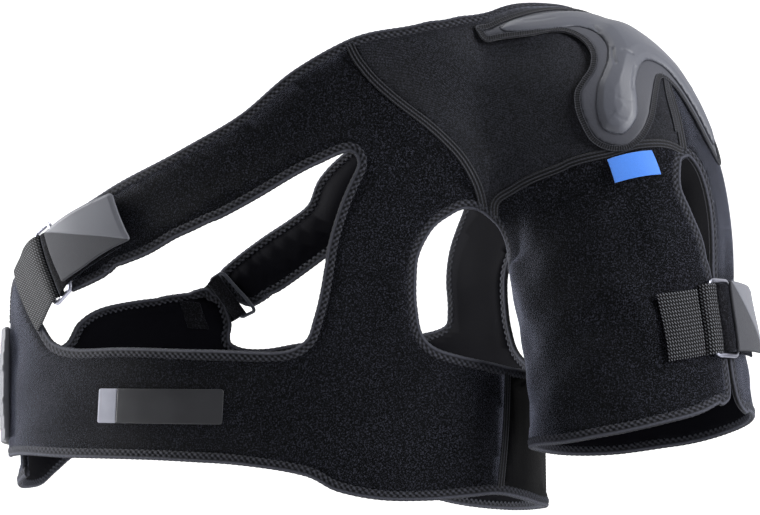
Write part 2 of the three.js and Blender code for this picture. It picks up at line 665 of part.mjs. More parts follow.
// Front closure: elastic webbing sewn to the riser, a ring, the hook strap and its rubber end tab
const front_ring_off = over_binding + ring_wire / 2;
const front_tab_off = over_binding + ring_wire + clearance + rubber_wall / 2;
add("front_strap_webbing", patch(
  [[1.004, 0.345], [1.026, 0.455], [0.868, 0.585], [0.762, 0.505]], [3, 3],
  [over_binding, over_binding + webbing_wall],
), webbing_grey);
add("front_ring", wire_loop(
  [[1.034, 0.47], [1.043, 0.56], [0.92, 0.675], [0.868, 0.6]], front_ring_off, ring_wire,
), ring_silver, 0.3, 1);
add("front_strap_hook", patch(
  [[1.042, 0.585], [1.06, 0.72], [0.995, 0.79], [0.946, 0.682]], [3, 3],
  [over_binding, over_binding + hook_wall],
), neoprene_black);
add("front_strap_tab", patch(
  [[1.034, 0.545], [1.07, 0.76], [1.018, 0.84], [0.958, 0.625]], [5, 2],
  [front_tab_off - rubber_wall / 2, front_tab_off + rubber_wall / 2],
), rubber_grey, 0.6);

// Arm closure across the slit of the sleeve
const arm_ring_off = over_binding + ring_wire / 2;
const arm_tab_off = over_binding + ring_wire + clearance + rubber_wall / 2;
const arm_tab_spring = 10;
add("arm_strap_webbing", patch(
  [[2.2, 0.675], [2.165, 0.36], [2.52, 0.395], [2.557, 0.675]], [4, 2],
  [over_cloth, over_cloth + webbing_wall],
), webbing_grey);
add("arm_ring", wire_loop(
  [[2.12, 0.31], [2.112, 0.1], [2.515, 0.14], [2.52, 0.36]], arm_ring_off, ring_wire,
), ring_silver, 0.3, 1);
add("arm_strap_hook", patch(
  [[2.125, 0.07], [2.13, -0.15], [2.5, -0.12], [2.5, 0.11]], [3, 2],
  [over_binding, over_binding + hook_wall],
), neoprene_black);
add("arm_strap_tab", strap([
  { upper: [2.112, 0.13], lower: [2.495, 0.16], off: arm_tab_off },
  { upper: [2.115, 0.02], lower: [2.49, 0.05], off: arm_tab_off + arm_tab_spring / 10 },
  { upper: [2.12, -0.1], lower: [2.485, -0.07], off: arm_tab_off + arm_tab_spring / 2 },
  { upper: [2.2, -0.2], lower: [2.47, -0.18], off: arm_tab_off + arm_tab_spring },
], rubber_wall), rubber_grey, 0.6);

// Back closure, on the inner side: a sewn patch on the wing, webbing and a thin wire ring
add("back_webbing_patch", patch(
  [[0.985, -0.63], [0.975, -0.69], [0.855, -0.715], [0.862, -0.655]], [2, 2],
  [-over_binding - label_wall, -over_binding],
), neoprene_black);
add("back_webbing", strap([
  { upper: [0.985, -0.7], lower: [0.865, -0.742], off: -over_binding - webbing_wall / 2 },
  { upper: [1.006, -0.735], lower: [0.9, -0.785], off: -over_binding - webbing_wall / 2 },
], webbing_wall), neoprene_black);
add("back_ring", wire_loop(
  [[1.022, -0.75], [1.028, -0.79], [0.945, -0.855], [0.912, -0.81]], -over_binding - back_ring_wire / 2,
  back_ring_wire,
), ring_dark, 0.4, 1);

// Moulded pull tab over the end of the front belt
const pull_tab_corners = [[0.8, 0.31], [0.8, -0.03], [0.3, -0.03], [0.3, 0.31]];
add("belt_pull_tab", patch(
  pull_tab_corners, [4, 4], [over_binding, over_binding + pull_tab_wall],
), rubber_grey, 0.6);

// Label on the belt, and the woven tag in the sleeve seam
const label_corners = [[0.497, 0.75], [0.477, 1.025], [0.33, 1.02], [0.352, 0.742]];
const label_split = 0.19;
const label_gap = 0.003;
const label_off = [over_cloth, over_cloth + label_wall];
add("belt_label_plate", patch([
  label_corners[0], within(label_corners, label_split - label_gap, 0),
  within(label_corners, label_split - label_gap, 1), label_corners[3],
], [2, 2], label_off), label_silver, 0.4, 0.6);
add("belt_label_strip", patch([
  within(label_corners, label_split + label_gap, 0), label_corners[1], label_corners[2],
  within(label_corners, label_split + label_gap, 1),
], [5, 2], label_off), label_dark, 0.5);
add("seam_tag", patch(
  [[1.79, 0.825], [1.818, 0.575], [1.86, 0.57], [1.84, 0.835]], [4, 1], label_off,
), tag_blue, 0.5);

// The shoulder pad: a flat sewn flange, and over it the moulded core with its raised crown
function smooth_loop(places, count) {
  const points = places.map(([along, around]) => new THREE.Vector3(along, around * 0.6, 0));
  const curve = new THREE.CatmullRomCurve3(points, true, "centripetal");
  return curve.getSpacedPoints(count).slice(0, -1).map((p) => [p.x, p.y / 0.6]);
}
const flange_outline = smooth_loop([
  [1.49, 0.64], [1.517, 0.605], [1.563, 0.49], [1.603, 0.43], [1.64, 0.45], [1.667, 0.585], [1.68, 0.71],
  [1.71, 0.785], [1.767, 0.77], [1.787, 0.67], [1.777, 0.52], [1.748, 0.4], [1.735, 0.22], [1.783, 0.11],
  [1.83, 0.06], [1.855, 0], [1.83, -0.06], [1.783, -0.12], [1.735, -0.22], [1.735, -0.42], [1.755, -0.58],
  [1.74, -0.7], [1.69, -0.68], [1.66, -0.56], [1.63, -0.46], [1.59, -0.44], [1.555, -0.5], [1.525, -0.5],
  [1.535, -0.36], [1.575, -0.15], [1.588, 0], [1.578, 0.14], [1.54, 0.36], [1.505, 0.52],
], 44);
const core_outline = smooth_loop([
  [1.6, 0.26], [1.64, 0.33], [1.672, 0.45], [1.692, 0.62], [1.715, 0.725], [1.755, 0.715], [1.768, 0.64],
  [1.758, 0.52], [1.73, 0.4], [1.715, 0.24], [1.73, 0.12], [1.78, 0.06], [1.825, 0.02], [1.825, -0.02],
  [1.78, -0.07], [1.73, -0.13], [1.712, -0.26], [1.715, -0.42], [1.735, -0.56], [1.725, -0.63], [1.695, -0.6],
  [1.67, -0.48], [1.64, -0.36], [1.61, -0.24], [1.605, 0],
], 34);
const crown_outline = smooth_loop([
  [1.64, 0.22], [1.675, 0.36], [1.7, 0.52], [1.72, 0.64], [1.748, 0.645], [1.745, 0.55], [1.72, 0.42],
  [1.695, 0.26], [1.7, 0.1], [1.7, -0.1], [1.692, -0.26], [1.7, -0.44], [1.715, -0.52], [1.69, -0.5],
  [1.66, -0.34], [1.635, -0.15], [1.63, 0.05],
], 22);
const pad_sheet = { along: [1.4, 1.93], around: [-1, 1] };
function pad_layer(outline, off) {
  return flat_sheet({ ...pad_sheet, off }).intersect(flat_cutter(outline));
}
const flange_foot = over_binding + 4 * clearance;
const flange_top = flange_foot + flange_wall;
const flange = laid(pad_layer(flange_outline, [flange_foot, flange_top]));
add("shoulder_pad_flange", geometry_from(flange), flange_grey, 0.7);
const core_foot = flange_top + clearance;
const core_top = core_foot + pad_core_height;
const core = pad_layer(core_outline, [core_foot, core_top])
  .add(pad_layer(crown_outline, [core_foot, core_top + pad_crown_height]));
add("shoulder_pad", geometry_from(laid(core)), pad_grey, 0.55);

// The mount: the inside of the cloth on the ridge of the shoulder
const seat = place(1.66, 0, -cloth_wall / 2);
brace.position.copy(seat).negate();

export default brace;
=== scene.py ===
import bpy
import numpy as np
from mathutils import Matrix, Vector


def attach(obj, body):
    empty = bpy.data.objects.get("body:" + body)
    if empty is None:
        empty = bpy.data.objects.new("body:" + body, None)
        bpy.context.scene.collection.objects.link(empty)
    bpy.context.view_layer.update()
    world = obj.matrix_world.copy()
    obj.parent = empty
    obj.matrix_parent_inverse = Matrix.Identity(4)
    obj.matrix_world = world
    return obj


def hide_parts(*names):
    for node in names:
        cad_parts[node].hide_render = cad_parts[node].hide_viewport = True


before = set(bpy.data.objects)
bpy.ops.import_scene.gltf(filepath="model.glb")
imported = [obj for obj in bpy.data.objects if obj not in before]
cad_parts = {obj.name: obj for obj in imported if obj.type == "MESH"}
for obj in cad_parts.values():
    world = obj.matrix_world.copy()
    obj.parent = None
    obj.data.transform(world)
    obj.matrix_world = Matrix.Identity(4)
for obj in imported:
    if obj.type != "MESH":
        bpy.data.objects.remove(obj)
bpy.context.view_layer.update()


# Front panel. One cut of 3 mm neoprene with a plush loop face makes the chest strap, chest and front
# belt. It is laid on the body form by place(along, around, off): along runs from the belt hem over the
# shoulder to the sleeve hem, around counts quarter turns from the outer ridge, off is out of the cloth.
MM = 0.001
# reach from the armpit line and half depth, in mm
CHEST, CROWN, SLEEVE = (401, 125), (200, 80), (156, 72)
FORM_ROWS = [
    # along, size, outer, inner, depth, forward
    (0.0, CHEST, 0.97, -0.03, 0.976, 0),
    (0.6, CHEST, 0.972, -0.018, 1.0, 0),
    (1.0, CHEST, 0.968, 0, 0.976, 0),
    (1.17, CHEST, 0.928, 0, 0.944, 0),
    (1.33, CHEST, 0.786, 0, 0.848, 0),
    (1.42, CROWN, 1.31, 0, 1.15, 0),
    (1.5, CROWN, 1.0, 0, 1.0, 0),
    (1.67, CROWN, 0.92, 0, 0.94, 0.12),
    (1.83, CROWN, 0.83, 0, 0.91, 0.25),
    (2.0, SLEEVE, 1.0, 0, 1.0, 0.42),
    (2.5, SLEEVE, 1.077, 0.09, 0.986, 0.75),
    (3.0, SLEEVE, 1.128, 0.128, 0.972, 1.0),
]
SIDE_HEIGHT, SLEEVE_DROP, SLEEVE_FORWARD, FULLNESS = 168, 132, 24, 2.3
CLOTH = 3.0


def measure(values, along):
    """Monotone cubic through the form's rows: slopes at the rows are weighted harmonic means."""
    x = np.array([row[0] for row in FORM_ROWS])
    y = np.array(values, float)
    step = np.diff(x)
    slope = np.diff(y) / step
    tangent = np.zeros(len(x))
    before = 2 * step[1:] + step[:-1]
    after = step[1:] + 2 * step[:-1]
    rising = slope[:-1] * slope[1:] > 0
    safe = np.where(rising, slope[:-1], 1), np.where(rising, slope[1:], 1)
    tangent[1:-1] = np.where(rising, (before + after) / (before / safe[0] + after / safe[1]), 0)
    tangent[0], tangent[-1] = slope[0], slope[-1]
    i = np.clip(np.searchsorted(x, along) - 1, 0, len(x) - 2)
    s = (along - x[i]) / step[i]
    rise = s * s * (3 - 2 * s)
    ends = s * (1 - s) ** 2 * tangent[i] + s * s * (s - 1) * tangent[i + 1]
    return (1 - rise) * y[i] + rise * y[i + 1] + step[i] * ends


def form(along, around):
    """Ring section of power 2.3 between an inner and an outer radius, turned about the armpit line."""
    along, around = np.broadcast_arrays(np.asarray(along, float), np.asarray(around, float))
    outer = measure([row[2] * row[1][0] for row in FORM_ROWS], along)
    inner = measure([row[3] * row[1][0] for row in FORM_ROWS], along)
    depth = measure([row[4] * row[1][1] for row in FORM_ROWS], along)
    forward = measure([row[5] * SLEEVE_FORWARD for row in FORM_ROWS], along)
    turn = np.pi * (1 - np.clip(along - 1, 0, 1))
    drop = np.clip(1 - along, 0, None) * SIDE_HEIGHT + np.clip(along - 2, 0, None) * SLEEVE_DROP
    c, s = np.cos(around * np.pi / 2), np.sin(around * np.pi / 2)
    radius = (outer + inner) / 2 + (outer - inner) / 2 * np.sign(c) * np.abs(c) ** (2 / FULLNESS)
    deep = depth * np.sign(s) * np.abs(s) ** (2 / FULLNESS)
    return np.stack([np.cos(turn) * radius, -forward - deep, np.sin(turn) * radius - drop], -1)


def unit(vectors):
    return vectors / np.maximum(np.linalg.norm(vectors, axis=-1, keepdims=True), 1e-9)


def outward(along, around):
    """Cross product of the form's two central differences."""
    along = np.asarray(along, float)
    around = np.asarray(around, float)
    reach = 0.012
    lengthwise = form(np.minimum(along + reach, 3), around) - form(np.maximum(along - reach, 0), around)
    crosswise = form(along, around + reach) - form(along, around - reach)
    return unit(np.cross(crosswise, lengthwise))


# the free side of each edge, as shifted() counts its sides
NECK_SIDE, FRONT_SIDE, ARMHOLE_SIDE, HEM_SIDE, CUFF_SIDE = 1, -1, -1, -1, 1
SEAT = form(1.66, 0.0) - outward(1.66, 0.0) * CLOTH / 2


def place(along, around, off=0.0):
    """Metres in the frame: the form's point, moved out by off millimetres and set on the shoulder seat."""
    off = np.asarray(off, float)[..., None]
    return (form(along, around) + outward(along, around) * off - SEAT) * MM


def smooth(places, per_span=24, scale=(1.0, 0.6)):
    """Centripetal Catmull-Rom curve through rows of places, with mirrored points past both ends."""
    p = np.array(places, float) * scale
    p = np.vstack([2 * p[0] - p[1], p, 2 * p[-1] - p[-2]])
    gap = np.maximum(np.linalg.norm(np.diff(p, axis=0), axis=1), 1e-6) ** 0.5
    a, b, c, d = p[:-3], p[1:-2], p[2:-1], p[3:]
    g0, g1, g2 = (g[:, None] for g in (gap[:-2], gap[1:-1], gap[2:]))
    leave = ((b - a) / g0 - (c - a) / (g0 + g1) + (c - b) / g1) * g1
    arrive = ((c - b) / g1 - (d - b) / (g1 + g2) + (d - c) / g2) * g1
    s = np.linspace(0, 1, per_span, endpoint=False)[None, :, None]
    b, c, leave, arrive = (v[:, None, :] for v in (b, c, leave, arrive))
    curve = b * (1 + 2 * s) * (1 - s) ** 2 + c * s * s * (3 - 2 * s)
    curve = curve + leave * s * (1 - s) ** 2 + arrive * s * s * (s - 1)
    return np.vstack([curve.reshape(-1, p.shape[1]), p[-2:-1]]) / scale


TAPE_HALF, TAPE_WALL, STITCH = 3.9, 2.1, 4.4
TAPE_SHIFT = TAPE_HALF - 1.3
LONGEST_STEP = 0.045


def shifted(edge, distance):
    """Moves an edge over the form by millimetres, to the side that outward x forward points to.

    The step across is split into the pattern's two directions by least squares, and is held under
    LONGEST_STEP, because near the armpit line a step along the pattern covers no ground."""
    reach = 0.01
    along, around = edge.T
    lengthwise = (place(along + reach, around) - place(along - reach, around)) / (2 * reach)
    crosswise = (place(along, around + reach) - place(along, around - reach)) / (2 * reach)
    ahead = unit(np.gradient(place(along, around), axis=0))
    across = np.cross(outward(along, around), ahead) * distance * MM
    aa = (lengthwise * lengthwise).sum(1)
    ac = (lengthwise * crosswise).sum(1)
    cc = (crosswise * crosswise).sum(1)
    a, c = (across * lengthwise).sum(1), (across * crosswise).sum(1)
    divisor = aa * cc - ac * ac
    step = np.stack([(a * cc - c * ac) / divisor, (c * aa - a * ac) / divisor], 1)
    return edge + np.clip(step, -LONGEST_STEP, LONGEST_STEP)


def taped(places, free):
    """A smooth edge, drawn back from its free side so that the tape's outer rim lies on the edge."""
    return shifted(smooth(places), -free * TAPE_SHIFT)


NECK_FRONT = taped([
    (1.033, 0.565), (1.065, 0.73), (1.115, 0.885), (1.18, 0.965), (1.26, 0.957), (1.33, 0.92),
    (1.396, 0.86), (1.436, 0.77), (1.468, 0.61), (1.512, 0.33), (1.55, 0.14), (1.562, 0),
], NECK_SIDE)
FRONT_OPENING = taped([
    (0.925, 0.653), (0.945, 0.7), (0.973, 0.749), (1.0007, 0.785), (1.0057, 0.817), (1.016, 0.883),
    (1.031, 0.936), (1.047, 0.985), (1.1, 1.075), (1.18, 1.15), (1.232, 1.185),
    (1.222, 1.222), (1.113, 1.262), (0.94, 1.257), (0.76, 1.228), (0.665, 1.2), (0.626, 1.15),
    (0.64, 0.99), (0.66, 0.82), (0.668, 0.66), (0.7, 0.585), (0.78, 0.525), (0.88, 0.455),
    (0.96, 0.39), (1.003, 0.325), (0.985, 0.25), (0.92, 0.18), (0.84, 0.15),
], FRONT_SIDE)
ARMHOLE_LOW_FRONT = taped([
    (0.57, 2.0), (0.572, 1.86), (0.59, 1.735), (0.61, 1.63), (0.64, 1.55), (0.69, 1.513), (0.81, 1.502),
    (0.97, 1.508), (1.14, 1.515), (1.28, 1.5), (1.38, 1.465), (1.46, 1.44),
], ARMHOLE_SIDE)
HEM_FRONT = taped([
    (0.245, 0.2), (0.24, 0.42), (0.22, 0.6), (0.19, 0.92), (0.163, 1.055), (0.115, 1.19), (0.05, 1.265),
    (0.016, 1.37), (0.014, 1.5), (0.03, 1.63), (0.045, 1.75), (0.03, 1.88), (0.012, 2.0),
], HEM_SIDE)
DIAGONAL_FRONT = smooth([
    (1.46, 1.44), (1.462, 1.32), (1.44, 1.24), (1.4, 1.17), (1.352, 1.08), (1.33, 0.99), (1.33, 0.915),
])
SIDE_SEAM_FRONT = smooth([(0.04, 1.76), (0.3, 1.8), (0.578, 1.83)])


def stretch(edge, start, end):
    """The part of an edge between the samples nearest to two places."""
    def nearest(spot):
        return int(np.argmin(np.hypot(edge[:, 0] - spot[0], 0.6 * (edge[:, 1] - spot[1]))))
    first, last = nearest(start), nearest(end)
    return edge[first:last + 1] if first < last else edge[last:first + 1][::-1]


def arc_lengths(points):
    return np.concatenate([[0], np.cumsum(np.linalg.norm(np.diff(points, axis=0), axis=1))])


def inside(outline, x, y):
    """Even-odd rule: a point is inside when a ray from it crosses the outline an odd number of times."""
    ax, ay = outline[:, 0], outline[:, 1]
    bx, by = np.roll(ax, -1), np.roll(ay, -1)
    crossings = np.zeros(x.shape, int)
    for x0, y0, x1, y1 in zip(ax, ay, bx, by):
        if y0 != y1:
            spans = (y0 > y) != (y1 > y)
            crossings += spans & (x < x0 + (y - y0) * (x1 - x0) / (y1 - y0))
    return crossings % 2 == 1


def nearest_on(outline, spots, closed=True):
    """Closest point of a polyline to each spot, in the pattern's own scale."""
    scale = np.array([1.0, 0.35])
    a = outline * scale
    b = np.roll(a, -1, axis=0) if closed else a[1:]
    a = a[:len(b)]
    span = b - a
    length = np.maximum((span ** 2).sum(1), 1e-12)
    best = np.empty_like(spots)
    for start in range(0, len(spots), 400):
        p = spots[start:start + 400, None, :] * scale
        share = np.clip(((p - a) * span).sum(2) / length, 0, 1)
        hit = a + share[..., None] * span
        pick = np.argmin(((hit - p) ** 2).sum(2), axis=1)
        best[start:start + 400] = hit[np.arange(len(pick)), pick] / scale
    return best


def mesh_piece(name, points, faces, **uvs):
    """A smooth shaded mesh object from arrays of points and faces, with a UV layer for each named array."""
    mesh = bpy.data.meshes.new(name)
    mesh.from_pydata(points.reshape(-1, 3), [], faces)
    mesh.update()
    corner = np.empty(len(mesh.loops), np.int32)
    mesh.loops.foreach_get("vertex_index", corner)
    for layer_name, uv in uvs.items():
        layer = mesh.uv_layers.new(name=layer_name)
        layer.data.foreach_set("uv", uv.reshape(-1, 2)[corner].astype(np.float32).ravel())
    mesh.polygons.foreach_set("use_smooth", np.ones(len(mesh.polygons), bool))
    piece = bpy.data.objects.new(name, mesh)
    bpy.context.scene.collection.objects.link(piece)
    return piece


def soft_waves(along, around, size):
    """Slow dents of the worn cloth: crossed sines that never line up, down to size millimetres deep."""
    a, r = along * 11.0, around * 6.0
    waves = np.sin(a + 1.7 * r) + 0.6 * np.sin(1.9 * a - 2.3 * r + 1.0) + 0.5 * np.sin(3.1 * r + 0.7 * a)
    return size * (waves - 2.1) / 4.2


def from_edge(spots, outline, closed=True):
    """Millimetres from each spot to an outline, measured over the form."""
    near = nearest_on(outline, spots, closed)
    return np.linalg.norm(place(near[:, 0], near[:, 1]) - place(spots[:, 0], spots[:, 1]), axis=1) / MM


def whole_cells(kept):
    """Cells of a grid with all four corners kept, and how many of them meet at each grid point."""
    full = kept[:-1, :-1] & kept[1:, :-1] & kept[1:, 1:] & kept[:-1, 1:]
    touch = np.zeros(kept.shape, int)
    for i, j in ((0, 0), (1, 0), (1, 1), (0, 1)):
        touch[i:i + full.shape[0], j:j + full.shape[1]] += full
    return full, touch


def cell_faces(full):
    """The four corners of each whole cell, as numbers of grid points counted row by row."""
    i, j = np.nonzero(full)
    width = full.shape[1] + 1
    corner = i * width + j
    return np.stack([corner, corner + 1, corner + width + 1, corner + width], 1)


def fitted_grid(outline, rows, columns):
    """Grid points over rows and columns, kept inside the outline, with the border drawn to it."""
    along, around = np.meshgrid(rows, columns, indexing="ij")
    kept = inside(outline, along, around)
    full, touch = whole_cells(kept)
    border = (touch > 0) & (touch < 4)
    spots = np.stack([along, around], -1)
    spots[border] = nearest_on(outline, spots[border])
    return spots, kept, full, touch


# mm of cloth over the shoulder, and about as many as a quarter turn has
ARCH, QUARTER_TURN = np.pi * CROWN[0], 122
CLOTH_CELL, GRID_MARGIN = 3.2, 0.03
WAVE_DEPTH, CALM_EDGE = 3.4, 22
FLAT_METRES = np.array([0.5, 0.122])


def cut_panel(name, outline, off=None):
    """A grid laid on the form inside the outline, in soft waves that die out towards its edges."""
    low, high = outline.min(0), outline.max(0)
    legs = np.arange(0, 1, CLOTH_CELL / SIDE_HEIGHT)
    arch = np.arange(1, 2, CLOTH_CELL / ARCH * 1.15)
    arm = np.arange(2, 3 + CLOTH_CELL / SLEEVE_DROP, CLOTH_CELL / SLEEVE_DROP)
    rows = np.minimum(np.concatenate([legs, arch, arm]), 3)
    rows = rows[(rows > low[0] - GRID_MARGIN) & (rows < high[0] + GRID_MARGIN)]
    columns = np.arange(low[1] - GRID_MARGIN, high[1] + 2 * GRID_MARGIN, CLOTH_CELL / QUARTER_TURN)
    spots, _, full, _ = fitted_grid(outline, rows, columns)
    faces = cell_faces(full)
    used, faces = np.unique(faces, return_inverse=True)
    spots = spots.reshape(-1, 2)[used]
    calm = np.clip(from_edge(spots, outline[::5]) / CALM_EDGE, 0, 1) ** 1.5
    heights = soft_waves(spots[:, 0], spots[:, 1], WAVE_DEPTH) * calm
    heights = heights + (off(spots[:, 0], spots[:, 1]) if off else 0)
    points = place(spots[:, 0], spots[:, 1], heights)
    piece = mesh_piece(name, points, faces.reshape(-1, 4).tolist(), UVMap=spots * FLAT_METRES)
    thick = piece.modifiers.new("wall", "SOLIDIFY")
    thick.thickness = CLOTH * MM
    thick.offset = 0
    thick.material_offset = 1
    return piece


class Socket:
    """A node's output, on which arithmetic adds Math nodes."""

    def __init__(self, finish, link):
        self.finish, self.link = finish, link

    def math(self, operation, first, second=0.0):
        return self.finish.node("ShaderNodeMath", {0: first, 1: second}, operation=operation)

    def __add__(self, other):
        return self.math("ADD", self, other)

    def __sub__(self, other):
        return self.math("SUBTRACT", self, other)

    def __rsub__(self, other):
        return self.math("SUBTRACT", other, self)

    def __mul__(self, other):
        return self.math("MULTIPLY", self, other)

    __radd__ = __add__
    __rmul__ = __mul__

    def sine(self):
        return self.math("SINE", self)

    def size(self):
        return self.math("ABSOLUTE", self)

    def over(self, edge, softness):
        """0 below the edge and 1 above it, with a soft step between."""
        values = {"Value": self, "From Min": edge - softness, "From Max": edge + softness}
        return self.finish.node("ShaderNodeMapRange", values, interpolation_type="SMOOTHSTEP")


class Finish:
    """A material built round one Principled shader, whose constants are set on its own sockets."""

    def __init__(self, name, **constants):
        self.material = bpy.data.materials.new(name)
        self.material.use_nodes = True
        self.tree = self.material.node_tree
        self.shader = self.tree.nodes["Principled BSDF"]
        for socket, value in constants.items():
            self.shader.inputs[socket.replace("_", " ")].default_value = value

    def node(self, kind, values=None, output=0, **settings):
        """Adds a node with its settings, and links each input to a socket or sets its value."""
        made = self.tree.nodes.new(kind)
        for key, value in settings.items():
            setattr(made, key, value)
        for key, value in (values or {}).items():
            if isinstance(value, Socket):
                self.tree.links.new(value.link, made.inputs[key])
            else:
                made.inputs[key].default_value = value
        return Socket(self, made.outputs[output])

    def spot(self):
        return self.node("ShaderNodeTexCoord", output="Object")

    def flat(self, layer="UVMap"):
        return self.node("ShaderNodeUVMap", uv_map=layer)

    def noise(self, scale, detail=3.0, roughness=0.6):
        values = {"Vector": self.spot(), "Scale": scale, "Detail": detail, "Roughness": roughness}
        return self.node("ShaderNodeTexNoise", values)

    def axes(self, vector):
        parts = self.tree.nodes.new("ShaderNodeSeparateXYZ")
        self.tree.links.new(vector.link, parts.inputs[0])
        return [Socket(self, parts.outputs[i]) for i in range(3)]

    def mixed(self, share, dark, light):
        values = {0: share, 6: (*dark, 1.0), 7: (*light, 1.0)}
        return self.node("ShaderNodeMix", values, output=2, data_type="RGBA")

    def colour(self, socket):
        self.tree.links.new(socket.link, self.shader.inputs["Base Color"])

    def rough(self, socket):
        self.tree.links.new(socket.link, self.shader.inputs["Roughness"])

    def relief(self, height, distance, strength=1.0):
        bump = self.node("ShaderNodeBump", {"Height": height, "Distance": distance, "Strength": strength})
        self.tree.links.new(bump.link, self.shader.inputs["Normal"])


def plush(name, dark, light, sheen=0.7):
    """Loop pile: grains of a millimetre with paler tips, and slow clouds where the pile leans."""
    finish = Finish(name, Sheen_Weight=sheen, Sheen_Roughness=0.22, Specular_IOR_Level=0.06)
    finish.shader.inputs["Sheen Tint"].default_value = (0.6, 0.64, 0.85, 1)
    pile = finish.noise(950, 4.0, 0.75)
    cloud = finish.noise(16, 2.0, 0.5)
    tips = pile.over(0.58, 0.09) * (0.5 + 0.5 * cloud)
    finish.colour(finish.mixed(tips, dark, light))
    finish.rough(0.7 + 0.25 * pile)
    finish.relief(pile, 0.0009, 0.9)
    return finish.material


def grained(name, grain, tones, rough, relief=None, **constants):
    """One noise turns a plain surface from its dark tone to its light one, and from smooth to rough."""
    finish = Finish(name, **constants)
    noise = finish.noise(*grain)
    finish.colour(finish.mixed(noise, *tones))
    finish.rough(rough[0] + rough[1] * noise)
    if relief:
        finish.relief(noise, *relief)
    return finish.material


neoprene = plush("neoprene_plush", (0.0007, 0.0008, 0.0013), (0.036, 0.0378, 0.052))
lining = grained("smooth_lining", (1100, 3.0), ((0.0005, 0.0005, 0.001), (0.003, 0.0031, 0.005)),
                 (0.6, 0.25), (0.0003, 0.6), Specular_IOR_Level=0.03)


def dress(piece, material, node=None):
    """Gives a piece its finish and its slot, and hides the CAD node that it stands for."""
    piece.data.materials.append(material)
    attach(piece, "root")
    if node:
        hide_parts(node)


def finish_cloth(piece, material, node):
    """Gives a panel its finish and lining."""
    dress(piece, material, node)
    piece.data.materials.append(lining)


front_outline = np.vstack([
    stretch(HEM_FRONT, (0.245, 0.2), (0.04, 1.76)), SIDE_SEAM_FRONT[1:-1],
    stretch(ARMHOLE_LOW_FRONT, (0.578, 1.83), (1.46, 1.44)), DIAGONAL_FRONT[1:],
    NECK_FRONT[NECK_FRONT[:, 0] < 1.325][::-1], FRONT_OPENING, [(0.8, 0.17), (0.26, 0.2)],
])
front_cloth = cut_panel("front_cloth", front_outline)
finish_cloth(front_cloth, neoprene, "front_panel")


# Back panel. The same neoprene, cut as the front's mirror, with its strap end at the back ring. Its
# belt half slips under the front belt at the wearer's other side, where the hook and loop closes.
WING_STARTS, WING_ENDS, WING_INSET = -0.5, -0.12, 6.4
NECK_BACK = taped([
    (1.562, 0), (1.55, -0.15), (1.515, -0.36), (1.47, -0.6), (1.41, -0.83), (1.33, -0.95), (1.25, -1.0),
    (1.18, -0.95), (1.131, -0.925), (1.101, -0.926), (1.08, -0.896), (1.056, -0.84), (1.038, -0.791),
    (1.021, -0.742),
], NECK_SIDE)
BACK_OPENING = taped([
    (1.021, -0.742), (1.012, -0.752), (1.0, -0.779), (0.971, -0.808), (0.962, -0.828), (0.985, -0.857),
    (1.0007, -0.875), (1.0045, -0.89), (1.023, -0.943), (1.047, -0.989), (1.14, -1.1), (1.205, -1.17),
    (1.236, -1.215), (1.21, -1.262), (1.08, -1.3), (0.9, -1.31), (0.83, -1.29), (0.8, -1.2),
    (0.8, -1.06), (0.778, -0.94), (0.756, -0.86), (0.76, -0.805), (0.785, -0.772), (0.82, -0.766),
    (0.872, -0.771), (0.935, -0.763), (0.99, -0.746), (1.006, -0.717), (1.006, -0.682), (0.998, -0.62),
    (0.978, -0.5), (0.935, -0.36), (0.87, -0.27), (0.77, -0.2), (0.72, -0.06), (0.7, 0.12), (0.69, 0.36),
], NECK_SIDE)
ARMHOLE_LOW_BACK = taped([
    (0.57, -2.0), (0.575, -1.86), (0.6, -1.74), (0.64, -1.65), (0.7, -1.585), (0.8, -1.56),
    (0.92, -1.558), (1.05, -1.56), (1.2, -1.54), (1.32, -1.5), (1.46, -1.45),
], -ARMHOLE_SIDE)
HEM_BACK = taped([
    (0.012, -2.0), (0.012, -1.75), (0.016, -1.5), (0.05, -1.3), (0.12, -1.15), (0.2, -1.03),
    (0.26, -0.9), (0.3, -0.7), (0.312, -0.45), (0.285, -0.27), (0.2, -0.14), (0.135, -0.04),
    (0.115, 0.08), (0.125, 0.24), (0.15, 0.36),
], HEM_SIDE)
DIAGONAL_BACK = smooth([
    (1.46, -1.45), (1.46, -1.3), (1.42, -1.18), (1.37, -1.07), (1.335, -1.0), (1.33, -0.95),
])
SIDE_SEAM_BACK = smooth([(0.012, -1.75), (0.3, -1.78), (0.58, -1.82)])


def wing_layer(along, around):
    """The step inwards of the hidden belt half, a smooth step over a third of a quarter turn."""
    s = np.clip((around - WING_STARTS) / (WING_ENDS - WING_STARTS), 0, 1)
    return -WING_INSET * s * s * (3 - 2 * s)


back_outline = np.vstack([
    stretch(HEM_BACK, (0.012, -1.75), (0.15, 0.36)), BACK_OPENING[::-1],
    NECK_BACK[NECK_BACK[:, 0] < 1.325][::-1][1:], DIAGONAL_BACK[::-1][:-1],
    stretch(ARMHOLE_LOW_BACK, (1.46, -1.45), (0.58, -1.82)), SIDE_SEAM_BACK[::-1][1:-1],
])
back_cloth = cut_panel("back_cloth", back_outline, off=wing_layer)
finish_cloth(back_cloth, neoprene, "back_panel")


